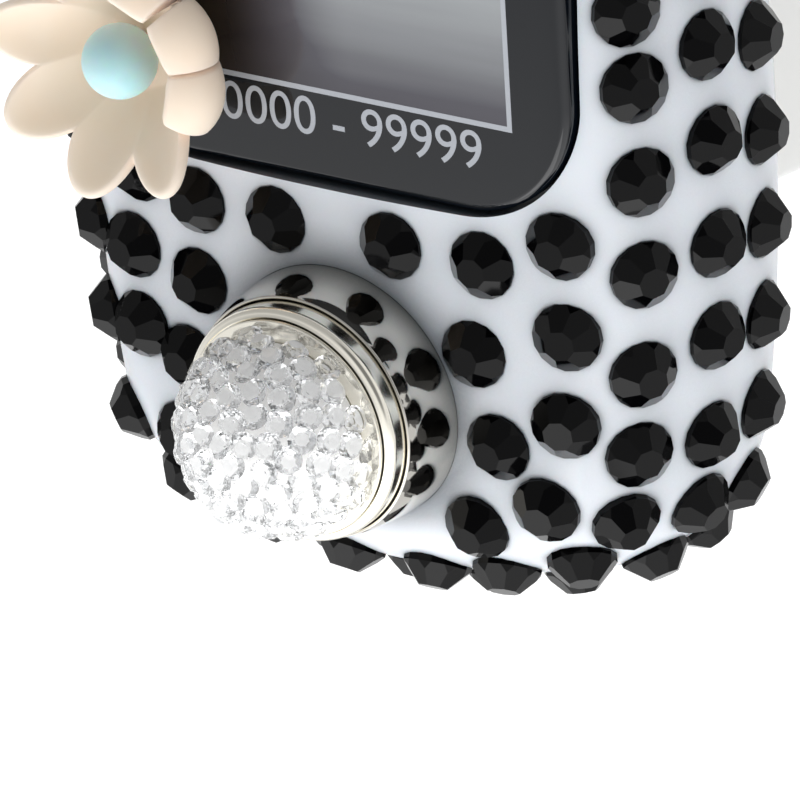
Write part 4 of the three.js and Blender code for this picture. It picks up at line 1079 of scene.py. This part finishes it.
# %% Crystal materials
def clear_crystal():
    """Clear glass. Light on its way to the bed passes straight through, so the bed stays bright."""
    material, tree, shader = new_material(
        "clear_crystal", Base_Color=linear(0xFDFEFF), IOR=1.54, Roughness=0.01,
        Transmission_Weight=0.95,
    )
    vary_roughness(tree, shader, noise(tree, surface_place(tree), 0.5), 0.0, 0.04)
    rays = add_node(tree, "ShaderNodeLightPath").outputs
    clear = add_node(tree, "ShaderNodeBsdfTransparent")
    bed_light = add_node(tree, "ShaderNodeMath", {
        0: rays["Is Shadow Ray"], 1: rays["Is Diffuse Ray"],
    }, operation="MAXIMUM")
    either = add_node(tree, "ShaderNodeMixShader", {0: bed_light.outputs[0]})
    tree.links.new(shader.outputs[0], either.inputs[1])
    tree.links.new(clear.outputs[0], either.inputs[2])
    tree.links.new(either.outputs[0], tree.nodes["Material Output"].inputs["Surface"])
    return material


def silvered_bed():
    material, tree, shader = new_material(
        "silvered_bed", Base_Color=linear(0xFDFDFC), Roughness=0.5,
    )
    grain = noise(tree, surface_place(tree), 0.3)
    vary_roughness(tree, shader, grain, 0.3, 0.5)
    add_relief(tree, shader, grain, 0.4, 0.05)
    return material


CLEAR_CRYSTAL = clear_crystal()
SILVERED_BED = silvered_bed()
print("crystal finishes:", CLEAR_CRYSTAL.name, SILVERED_BED.name)

# %% [markdown]
# The seats lie on a spiral about the dome. Each crystal leans a little at random, so that some flash
# and others show the bed.

# %% Dome of crystals
DOME_RADIUS = 4.35
CRYSTAL_SIZE = 1.14
CRYSTAL_COUNT = 98
LOWEST_CRYSTAL = 2
GOLDEN_ANGLE = 137.508
CRYSTAL_CROWN = 0.34
CRYSTAL_GIRDLE = 0.03
CRYSTAL_POINT = 0.32
BED_DEPTH = 0.7
dome_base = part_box("crystal_dome")[0].z / MM


def dome_seats():
    """Seats on a spiral that turns by the golden angle: even all over the dome, but not in rows."""
    bed = DOME_RADIUS - CRYSTAL_CROWN
    centre = Vector((BUTTON_CENTRE[0], BUTTON_CENTRE[1], dome_base))
    low = math.sin(math.radians(LOWEST_CRYSTAL))
    places = []
    for i in range(CRYSTAL_COUNT):
        height = low + (1 - low) * (i + 0.5) / CRYSTAL_COUNT
        level = math.sqrt(1 - height ** 2)
        turn = math.radians(GOLDEN_ANGLE * i)
        out = Vector((level * math.cos(turn), level * math.sin(turn), height))
        places.append((centre + bed * out, out))
    return places


def crystal_dome():
    seats_here = dome_seats()
    grow = STONE_DIAMETER / CRYSTAL_SIZE
    pattern = stone_mesh(
        "crystal_pattern", CLEAR_CRYSTAL, table_share=0.5, height=CRYSTAL_CROWN * grow,
        girdle=CRYSTAL_GIRDLE * grow, root=CRYSTAL_GIRDLE * grow, point=CRYSTAL_POINT * grow,
    )
    piece = set_on_points(
        "pave_crystals", seat_points("crystal_seats", seats_here), pattern, CLEAR_CRYSTAL,
        scale=1 / grow, tilt=0.3, seed=3,
    )
    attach(piece, "button")
    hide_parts("crystal_dome")
    profile = [(LATHE_AXIS, dome_base)]
    profile += arc_points(0, dome_base, DOME_RADIUS - BED_DEPTH, 0, 90, 20)
    bed = turned("crystal_bed", BUTTON_CENTRE, profile, SILVERED_BED, sides=96)
    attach(bed, "button")
    return len(seats_here)


print("crystals:", crystal_dome())

# %% [markdown]
# ## The flower
# Eight cupped petals grow out of one round floor. Five of them lie open. The three on the display's
# side curl up and inwards, and the turns between the petals are uneven. The whole flower is one grid
# in polar form: along each direction the edge lies where that ray leaves the petal's outline, and the
# height follows the petal's rise. The upper and the lower side are joined by a rounded rim.

# %% Flower materials
def petal_resin():
    material, tree, shader = new_material(
        "petal_resin", Base_Color=linear(0xF6E2D3), IOR=1.48, Roughness=0.55,
        Subsurface_Weight=0.6, Subsurface_Scale=1.2 * MM, Specular_IOR_Level=0.3,
    )
    shader.inputs["Subsurface Radius"].default_value = (1.0, 1.0, 1.0)
    cloud = noise(tree, surface_place(tree), 2.5)
    colour_by(tree, shader, cloud.outputs["Fac"], ((0.0, 0xFFDFC9), (1.0, 0xFFEAD8)))
    add_relief(tree, shader, cloud, 0.2, 0.03)
    return material


def bead_resin():
    material, tree, shader = new_material(
        "bead_resin", Base_Color=linear(0xBCE8EE), IOR=1.48, Roughness=0.4,
        Subsurface_Weight=0.8, Subsurface_Scale=1.5 * MM, Specular_IOR_Level=0.3,
    )
    cloud = noise(tree, surface_place(tree), 1.5)
    colour_by(tree, shader, cloud.outputs["Fac"], ((0.0, 0xB2E4EC), (1.0, 0xC6EEF2)))
    return material


PETAL_RESIN = petal_resin()
BEAD_RESIN = bead_resin()
print("flower finishes:", PETAL_RESIN.name, BEAD_RESIN.name)

# %% [markdown]
# A petal's middle line is a curve in height over distance. The open petals rise in one sweep, and
# the curled ones follow a cubic curve that bends back over the flower.

# %% Petal lines
PETAL_REACH = 5.2
PETAL_WIDTH = 2.95
PETAL_RISE = 3.2
PETAL_CURL = 1.15
PETAL_ROOT_SHARE = 0.55
PETAL_WIDEST_SHARE = 0.7
CURL_OUTER = 5.4
CURL_TIP_RADIUS = 3.2
CURL_HEIGHT = 2.6
CURL_START = 0.65
CURL_LEAN = 0.15
CURL_PULL = 2.34
FLOWER_FLOOR_RADIUS = 1.7


def bezier(points, t):
    """A point of a cubic curve and the direction of the curve there."""
    a, b, c, d = (Vector(p) for p in points)
    u = 1 - t
    place = u ** 3 * a + 3 * u * u * t * b + 3 * u * t * t * c + t ** 3 * d
    along = u * u * (b - a) + 2 * u * t * (c - b) + t * t * (d - c)
    return place, along.normalized()


def open_petal(t):
    """A place on the middle line, as a distance and a height, and the line's direction there."""
    length = PETAL_REACH - FLOWER_FLOOR_RADIUS
    r = PETAL_REACH * t
    share = max(0.0, (r - FLOWER_FLOOR_RADIUS) / length)
    rate = PETAL_RISE * PETAL_CURL * share ** (PETAL_CURL - 1) / length
    return Vector((r, PETAL_RISE * share ** PETAL_CURL)), Vector((1, rate)).normalized()


def curled_petal(t):
    root = (0, 0)
    start = (CURL_OUTER - CURL_START, 0)
    bend = (CURL_OUTER - CURL_LEAN, CURL_PULL)
    tip = (CURL_TIP_RADIUS, CURL_HEIGHT)
    return bezier((root, start, bend, tip), t)


def petal_half_width(t, tip_power):
    """Half the petal's width, growing to its widest place and rounded off to its tip."""
    if t < PETAL_WIDEST_SHARE:
        grown = (1 - PETAL_ROOT_SHARE) * t / PETAL_WIDEST_SHARE
        return PETAL_WIDTH / 2 * (PETAL_ROOT_SHARE + grown)
    share = min(1.0, (t - PETAL_WIDEST_SHARE) / (1 - PETAL_WIDEST_SHARE))
    return PETAL_WIDTH / 2 * (1 - share ** tip_power) ** (1 / tip_power)


def petal_edge(along, tip_power, off_axis):
    """How far along the petal a ray from the middle meets its edge, found by halving."""
    low = 0.2
    high = 1.0
    for _ in range(30):
        middle = (low + high) / 2
        place = along(middle)[0]
        if place.x * math.sin(off_axis) < petal_half_width(middle, tip_power):
            low = middle
        else:
            high = middle
    return low


print("height of an open petal's tip:", round(open_petal(1)[0].y, 2))
print("height of a curled one's:", round(curled_petal(1)[0].y, 2))

# %% [markdown]
# One ray is a cut through the flower. It runs from the middle over a petal's rim and back under the
# petal to the foot. All rays have the same number of points, so they can be lofted into one skin.

# %% Flower and bead
FLOWER_CENTRE = (-7.85, 3.3)
PETAL_TURNS = (26, 66, 117, 168, 213, 258, 303, 348)
CURLED_TURNS = (26, 66, 348)
OPEN_TIP_POWER = 2
CURLED_TIP_POWER = 4
PETAL_WALL = 0.5
PETAL_CUP = 0.35
FLOWER_BASE_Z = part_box("flower")[0].z / MM
FLOWER_FLOOR = 0.9
FOOT_BEVEL_WIDTH = 0.15
FOOT_BEVEL_HEIGHT = 0.2
BEAD_RADIUS = 1.5
RAYS_PER_PETAL = 28
RAY_CROWDING = 0.9
STEPS_OUT = 34
STEP_CROWDING = 1.2
RIM_STEPS = 8
RIM_SHARE = 0.985


def flower_ray(turn, off_axis):
    """Points of one cut through the flower, from the middle over the rim and back underneath."""
    along, tip_power = open_petal, OPEN_TIP_POWER
    if turn in CURLED_TURNS:
        along, tip_power = curled_petal, CURLED_TIP_POWER
    edge = petal_edge(along, tip_power, abs(off_axis)) * RIM_SHARE
    half = PETAL_WALL / 2
    spine = []
    for step in range(STEPS_OUT + 1):
        t = edge * (1 - (1 - step / STEPS_OUT) ** STEP_CROWDING)
        place, heading = along(t)
        inward = Vector((-heading.y, heading.x))
        aside = min(1.0, place.x * math.sin(abs(off_axis)) / (PETAL_WIDTH / 2))
        cup = PETAL_CUP * min(1.0, t / PETAL_WIDEST_SHARE) * aside ** 2
        spine.append((place + (cup - half) * inward, inward))
    points = [place + half * inward for place, inward in spine]
    place, inward = spine[-1]
    outward = Vector((inward.y, -inward.x))
    for step in range(1, RIM_STEPS):
        a = math.pi * step / RIM_STEPS
        points.append(place + half * (math.cos(a) * inward + math.sin(a) * outward))
    underneath = [part for part in reversed(spine) if part[0].x > FLOWER_FLOOR_RADIUS]
    points += [place - half * inward for place, inward in underneath]
    points += [points[-1]] * (2 * STEPS_OUT + RIM_STEPS + 1 - len(points))
    points += [
        Vector((FLOWER_FLOOR_RADIUS, FOOT_BEVEL_HEIGHT - FLOWER_FLOOR)),
        Vector((FLOWER_FLOOR_RADIUS - FOOT_BEVEL_WIDTH, -FLOWER_FLOOR)),
        Vector((0, -FLOWER_FLOOR)),
    ]
    floor = FLOWER_BASE_Z + FLOWER_FLOOR
    aim = math.radians(turn) + off_axis
    x, y = FLOWER_CENTRE
    return [(x + p.x * math.cos(aim), y + p.x * math.sin(aim), floor + p.y) for p in points]


def flower():
    rays = []
    for i, turn in enumerate(PETAL_TURNS):
        before = (turn - PETAL_TURNS[i - 1]) % 360
        after = (PETAL_TURNS[(i + 1) % len(PETAL_TURNS)] - turn) % 360
        for step in range(RAYS_PER_PETAL):
            share = 2 * step / RAYS_PER_PETAL - 1
            reach = math.radians(before if share < 0 else after) / 2
            off_axis = reach * math.copysign(abs(share) ** RAY_CROWDING, share)
            rays.append(flower_ray(turn, off_axis))
    corners, faces = loft(rays + rays[:1], False, False)
    count = len(rays[0])
    faces = [face for face in faces if face[0] % count != count - 1]
    piece = mesh_object("moulded_flower", corners, faces, PETAL_RESIN, 180)
    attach(piece, "case")
    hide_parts("flower")


def bead():
    low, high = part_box("flower_bead")
    middle = (low.z + high.z) / 2 / MM
    profile = arc_points(0, middle, BEAD_RADIUS, -90, 90, 40)
    piece = turned("round_bead", FLOWER_CENTRE, profile, BEAD_RESIN, sides=80, smooth_angle=180)
    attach(piece, "case")
    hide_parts("flower_bead")


flower()
bead()
print("flower done")

# %% [markdown]
# ## Back, band and inside
# The photograph shows only the face, but the part is turned round in use, so the back is finished
# too. The cover continues the case's curve below the seam; the soft band is swept along one curve
# with rounded edges. Pieces whose CAD shape is already right only get their material: steel parts,
# the display's glass and foil, the board and what sits on it, and the switch under the button.

# %% Materials of the back and the inside
GRAIN_SPREAD = 0.25
WAVE_TURNS = 10


def grained(name, colour, roughness, grain_mm, depth_mm=0.01, metallic=0.0, **sockets):
    """A plain moulded or worked surface: one colour, a fine grain in its gloss and its relief."""
    material, tree, shader = new_material(
        name, Base_Color=linear(colour), Roughness=roughness, Metallic=metallic, **sockets)
    grain = noise(tree, surface_place(tree), grain_mm, 3.0)
    least = roughness * (1 - GRAIN_SPREAD)
    most = roughness * (1 + GRAIN_SPREAD)
    vary_roughness(tree, shader, grain, least, most)
    add_relief(tree, shader, grain, 0.3, depth_mm)
    return material


def striped(name, dark, light, stripes_mm):
    """Rubber in alternating conducting and insulating layers across X."""
    material, tree, shader = new_material(name, Roughness=0.7)
    bands = add_node(tree, "ShaderNodeTexWave", {
        "Vector": surface_place(tree), "Scale": 1 / (2 * stripes_mm * MM) / WAVE_TURNS,
    }, bands_direction="X")
    colour_by(tree, shader, bands.outputs["Fac"], ((0.0, dark), (1.0, light)))
    return material


def silicone():
    material = grained("band_silicone_matte", 0xEDEDEB, 0.6, 0.4, 0.02, Subsurface_Weight=0.3)
    shader = material.node_tree.nodes["Principled BSDF"]
    shader.inputs["Subsurface Scale"].default_value = 1.0 * MM
    shader.inputs["Subsurface Radius"].default_value = (1, 1, 1)
    return material


STEEL = grained("plated_steel", 0xB9BCC0, 0.28, 0.15, 0.005, 1.0)
SILICONE = silicone()
CAD_FINISHES = {
    "battery_door": WHITE_CASE,
    "lcd_front_glass": grained("display_glass_clear", 0xC9D2CF, 0.05, 1.0, 0.002, IOR=1.52),
    "lcd_reflector": grained("reflector_foil_satin", 0x9A9DA0, 0.4, 0.1, 0.004, 0.8),
    "lcd_holder": grained("holder_plastic_matte", 0xE6E6E3, 0.5, 0.3),
    "zebra_strip": striped("zebra_rubber_layers", 0x18181A, 0x8A8A90, 0.1),
    "circuit_board": grained("green_solder_mask", 0x1F5C36, 0.35, 0.5, 0.006),
    "counter_chip": grained("black_potting_resin", 0x141414, 0.3, 0.6, 0.03),
    "chip_capacitor": grained("tan_ceramic", 0xB3925F, 0.55, 0.2),
    "rubber_dome": grained("keypad_silicone_grey", 0x8D8F94, 0.65, 0.3, 0.01),
    "carbon_pill": grained("carbon_rubber_matte", 0x151515, 0.8, 0.1, 0.01),
}
STEEL_PIECES = ["button_cell", "contact_negative", "contact_positive"]
STEEL_PIECES += ["band_pin_right", "band_pin_left"]
STEEL_PIECES += [f"case_screw_{i}" for i in range(1, 5)]
CAD_FINISHES |= {name: STEEL for name in STEEL_PIECES}
CAD_FINISHES["lcd_rear_glass"] = CAD_FINISHES["lcd_front_glass"]
CAD_FINISHES["chip_resistor"] = CAD_FINISHES["counter_chip"]

for node, material in CAD_FINISHES.items():
    for slot in nodes[node].material_slots:
        slot.material = material
print("CAD pieces finished:", len(CAD_FINISHES))

# %% [markdown]
# The cover is cut away for the battery door, which runs out through its end, and for the heads of
# the four screws.

# %% Back cover
SEAM_GAP = 0.15
SEAM_SHARE = 0.9
COVER_STEPS = 20
CUT_BELOW = 1.0
SCREW_FROM_CORNER_X = 3.33
SCREW_FROM_CORNER_Y = 1.05
SCREW_X = CORNER_X + SCREW_FROM_CORNER_X
SCREW_Y = CORNER_Y + SCREW_FROM_CORNER_Y
SCREW_HOLE_RADIUS = 1.3
SCREW_HOLE_ROOF = 0.3
DOOR_HALF_WIDTH = 6.5
DOOR_START_Y = 1.9
DOOR_THICKNESS = 1.15


def back_cover():
    top_slope = slope_at_depth(SEAM_DEPTH + SEAM_GAP)
    slopes = steps_between(top_slope, 180, COVER_STEPS) + [180]
    rings = [case_ring(slope) for slope in slopes]
    rings.insert(0, [(SEAM_SHARE * x, SEAM_SHARE * y, z) for x, y, z in rings[0]])
    corners, faces = loft(rings)
    cover = mesh_object("back_shell", corners, faces, WHITE_CASE)
    below = BACK_Z - CUT_BELOW
    door_half = DOOR_HALF_WIDTH + FIT
    door_end = HALF_LENGTH + CUT_BEYOND
    door = rectangle(-door_half, door_half, DOOR_START_Y - FIT, door_end)
    door_roof = BACK_Z + DOOR_THICKNESS + FIT / 2
    cutters = [prism("door_cutter", door, below, door_roof, WHITE_CASE)]
    for sx in (-1, 1):
        for sy in (-1, 1):
            hole = circle((sx * SCREW_X, sy * SCREW_Y), SCREW_HOLE_RADIUS, 48)
            roof = SEAM_Z - SCREW_HOLE_ROOF
            cutters.append(prism("screw_cutter", hole, below, roof, WHITE_CASE))
    cover = cut_away(cover, cutters)
    smooth_up_to(cover.data, SHELL_SMOOTH_ANGLE)
    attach(cover, "case")
    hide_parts("back_cover")


back_cover()
print("back cover done")

# %% [markdown]
# Four rounded lugs stand under the cover, on both sides of the band, and hold the ends of its pins.

# %% Lugs
PIN_X = 9.3
PIN_Z = 15.85
LUG_RADIUS = 1.5
LUG_THICKNESS = 1.2
LUG_ROOT = 0.4
LUG_STEPS = 24
BAND_WIDTH = 11.0


def lug(side, end):
    """A rounded ear under the cover that holds one end of a band pin."""
    x = side * PIN_X
    root_z = BACK_Z + LUG_ROOT
    start_y = end * (BAND_WIDTH / 2 + FIT)
    outline = [(x + LUG_RADIUS, root_z), (x - LUG_RADIUS, root_z)]
    for i in range(LUG_STEPS + 1):
        a = math.pi + math.pi * i / LUG_STEPS
        outline.append((x + LUG_RADIUS * math.cos(a), PIN_Z + LUG_RADIUS * math.sin(a)))
    ys = (start_y, start_y + end * LUG_THICKNESS)
    corners, faces = loft([[(px, y, pz) for px, pz in outline] for y in ys])
    piece = mesh_object("band_lug", corners, faces, WHITE_CASE)
    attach(piece, "case")
    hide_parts("back_cover")


for side in (-1, 1):
    for end in (-1, 1):
        lug(side, end)
print("lugs done")

# %% [markdown]
# The strap's middle line goes from one pin down, under the finger and up to the other pin. Its half
# is two cubic curves, the lower and the upper, and the other half is its mirror image. Each end of
# the strap closes round its pin in a thick eye.

# %% Finger band
FINGER_HEIGHT = 15.8
BAND_THICKNESS = 1.6
BAND_FOOT_WIDTH = 12.0
BAND_HALF_SPAN = 11.4
BAND_EDGE_ROUNDING = 0.45
BAND_EDGE_STEPS = 6
BAND_BULGE_SHARE = 0.55
BAND_FOOT_CURVE = 0.6
BAND_SIDE_CURVE = 2.6
BAND_PIN_CURVE = 3.4
BAND_STEPS = 24
BAND_SMOOTH_ANGLE = 50
EYE_RADIUS = 1.35
EYE_BORE_RADIUS = 0.62
EYE_BEVEL = 0.3
EYE_STEPS = 48


def band_path():
    """Middle line of the strap in X and Z, from one pin under the finger to the other."""
    foot = BAND_FOOT_WIDTH / 2
    side = BAND_HALF_SPAN - BAND_THICKNESS / 2
    low = BAND_THICKNESS / 2
    bulge = FINGER_HEIGHT * BAND_BULGE_SHARE
    side_start = (side, bulge)
    pin = (PIN_X, PIN_Z)
    lower = ((foot, low), (side - BAND_FOOT_CURVE, low), (side, bulge / 2), side_start)
    upper = (side_start, (side, bulge + BAND_SIDE_CURVE), (PIN_X, PIN_Z - BAND_PIN_CURVE), pin)
    half = [bezier(lower, i / BAND_STEPS) for i in range(BAND_STEPS)]
    half += [bezier(upper, i / BAND_STEPS) for i in range(BAND_STEPS + 1)]
    other = [(Vector((-p.x, p.y)), Vector((d.x, -d.y))) for p, d in reversed(half)]
    return other + half


def strap():
    profile = rounded_rectangle(
        BAND_THICKNESS, BAND_WIDTH, 0.0, BAND_EDGE_ROUNDING, BAND_EDGE_STEPS)
    rings = []
    for place, along in band_path():
        out = Vector((along.y, -along.x))
        rings.append([(place.x + t * out.x, w, place.y + t * out.y) for t, w in profile])
    corners, faces = loft(rings)
    band = mesh_object("soft_band", corners, faces, SILICONE, BAND_SMOOTH_ANGLE)
    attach(band, "case")
    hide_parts("finger_band")


def band_eye(side):
    """The thick end of the strap round one pin, bevelled at both ends."""
    end = BAND_WIDTH / 2
    face = EYE_RADIUS - EYE_BEVEL
    outline = [(EYE_BORE_RADIUS, -end), (face, -end), (EYE_RADIUS, EYE_BEVEL - end)]
    outline += [(r, -y) for r, y in reversed(outline)]
    rings = []
    for step in range(EYE_STEPS + 1):
        a = 2 * math.pi * step / EYE_STEPS
        across = side * PIN_X
        rings.append([(across + r * math.cos(a), y, PIN_Z + r * math.sin(a)) for r, y in outline])
    corners, faces = loft(rings, False, False)
    eye = mesh_object("band_eye", corners, faces, SILICONE, BAND_SMOOTH_ANGLE)
    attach(eye, "case")
    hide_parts("finger_band")


strap()
for side in (-1, 1):
    band_eye(side)
print("band done")

# %% [markdown]
# ## Studio
# A pale floor under soft light from all round. A photographer's white background is brighter than
# the film can hold; here the camera sees the floor and the world as plain white, while the light
# stays at a level that keeps the white case below clipping. Glossy things need something dark to
# mirror as well, so the world is brightest low in front of the button end, darker towards the far
# left of the display, and darkest where the photographer stood.

# %% Studio world
WORLD_STRENGTH = 0.85
BRIGHT_SIDE = direction(-80, 12)
DARK_SIDE = direction(118, 12)
BRIGHT_GAIN = 1.6
DARK_LEVEL = 0.5
PHOTOGRAPHER_LEVEL = 0.25


def towards_side(tree, place, side, start, end, low, high):
    """A brightness that changes smoothly where the view direction comes near the given side."""
    near = add_node(tree, "ShaderNodeVectorMath", {0: place, 1: side}, operation="DOT_PRODUCT")
    return add_node(tree, "ShaderNodeMapRange", {
        "Value": near.outputs["Value"], "From Min": start, "From Max": end,
        "To Min": low, "To Max": high,
    }, interpolation_type="SMOOTHSTEP").outputs[0]


def studio_world():
    world = bpy.data.worlds.new("studio")
    bpy.context.scene.world = world
    world.use_nodes = True
    tree = world.node_tree
    tree.nodes.clear()
    place = add_node(tree, "ShaderNodeTexCoord").outputs["Generated"]
    bright = towards_side(tree, place, BRIGHT_SIDE, 0.3, 0.95, 1.0, 1.0 + BRIGHT_GAIN)
    dark = towards_side(tree, place, DARK_SIDE, 0.2, 0.85, 1.0, DARK_LEVEL)
    camera_side = direction(CAMERA_AZIMUTH, CAMERA_ELEVATION)
    photographer = towards_side(tree, place, camera_side, 0.82, 0.95, 1.0, PHOTOGRAPHER_LEVEL)
    level = multiply(tree, multiply(tree, bright, dark), photographer)
    level = multiply(tree, level, WORLD_STRENGTH)
    rays = add_node(tree, "ShaderNodeLightPath")
    soft = add_node(tree, "ShaderNodeBackground", {"Color": (1, 1, 1, 1), "Strength": level})
    white = add_node(tree, "ShaderNodeBackground", {"Color": (1, 1, 1, 1), "Strength": 1.0})
    either = add_node(tree, "ShaderNodeMixShader", {0: rays.outputs["Is Camera Ray"]})
    tree.links.new(soft.outputs[0], either.inputs[1])
    tree.links.new(white.outputs[0], either.inputs[2])
    out = add_node(tree, "ShaderNodeOutputWorld")
    tree.links.new(either.outputs[0], out.inputs[0])


bpy.context.scene.view_settings.view_transform = "Standard"
studio_world()
print("world:", bpy.context.scene.world.name)

# %% [markdown]
# The floor glows for the camera alone, which lifts it to white without lighting the case from
# below. One large soft lamp stands over the button end and draws the highlights.

# %% Floor and lamp
LAMP_POWER = 0.35
LAMP_SIZE = 250 * MM
LAMP_DISTANCE = 450 * MM
LAMP_AIM = Vector((0, 0, 25)) * MM
FLOOR_REACH = 600 * MM
FLOOR_GLOW = 0.35


def studio_floor():
    mesh = bpy.data.meshes.new("floor")
    outline = rectangle(-FLOOR_REACH, FLOOR_REACH, -FLOOR_REACH, FLOOR_REACH)
    mesh.from_pydata([(x, y, 0) for x, y in outline], [], [(0, 1, 2, 3)])
    material, tree, shader = new_material(
        "floor_paper", Base_Color=(0.85, 0.85, 0.85, 1), Roughness=0.9)
    rays = add_node(tree, "ShaderNodeLightPath")
    glow = spread(tree, rays.outputs["Is Camera Ray"], 0.0, FLOOR_GLOW)
    tree.links.new(glow, shader.inputs["Emission Strength"])
    shader.inputs["Emission Color"].default_value = (1, 1, 1, 1)
    floor = add_piece("studio_floor", mesh, material)


def soft_lamp(name, azimuth, elevation, distance, power, size):
    data = bpy.data.lights.new(name, "AREA")
    data.energy = power
    data.size = size
    lamp = new_object(name, data)
    towards = direction(azimuth, elevation)
    lamp.location = LAMP_AIM + distance * towards
    lamp.rotation_mode = "QUATERNION"
    lamp.rotation_quaternion = towards.to_track_quat("Z", "Y")


studio_floor()
soft_lamp("key_lamp", -90, 45, LAMP_DISTANCE, LAMP_POWER, LAMP_SIZE)
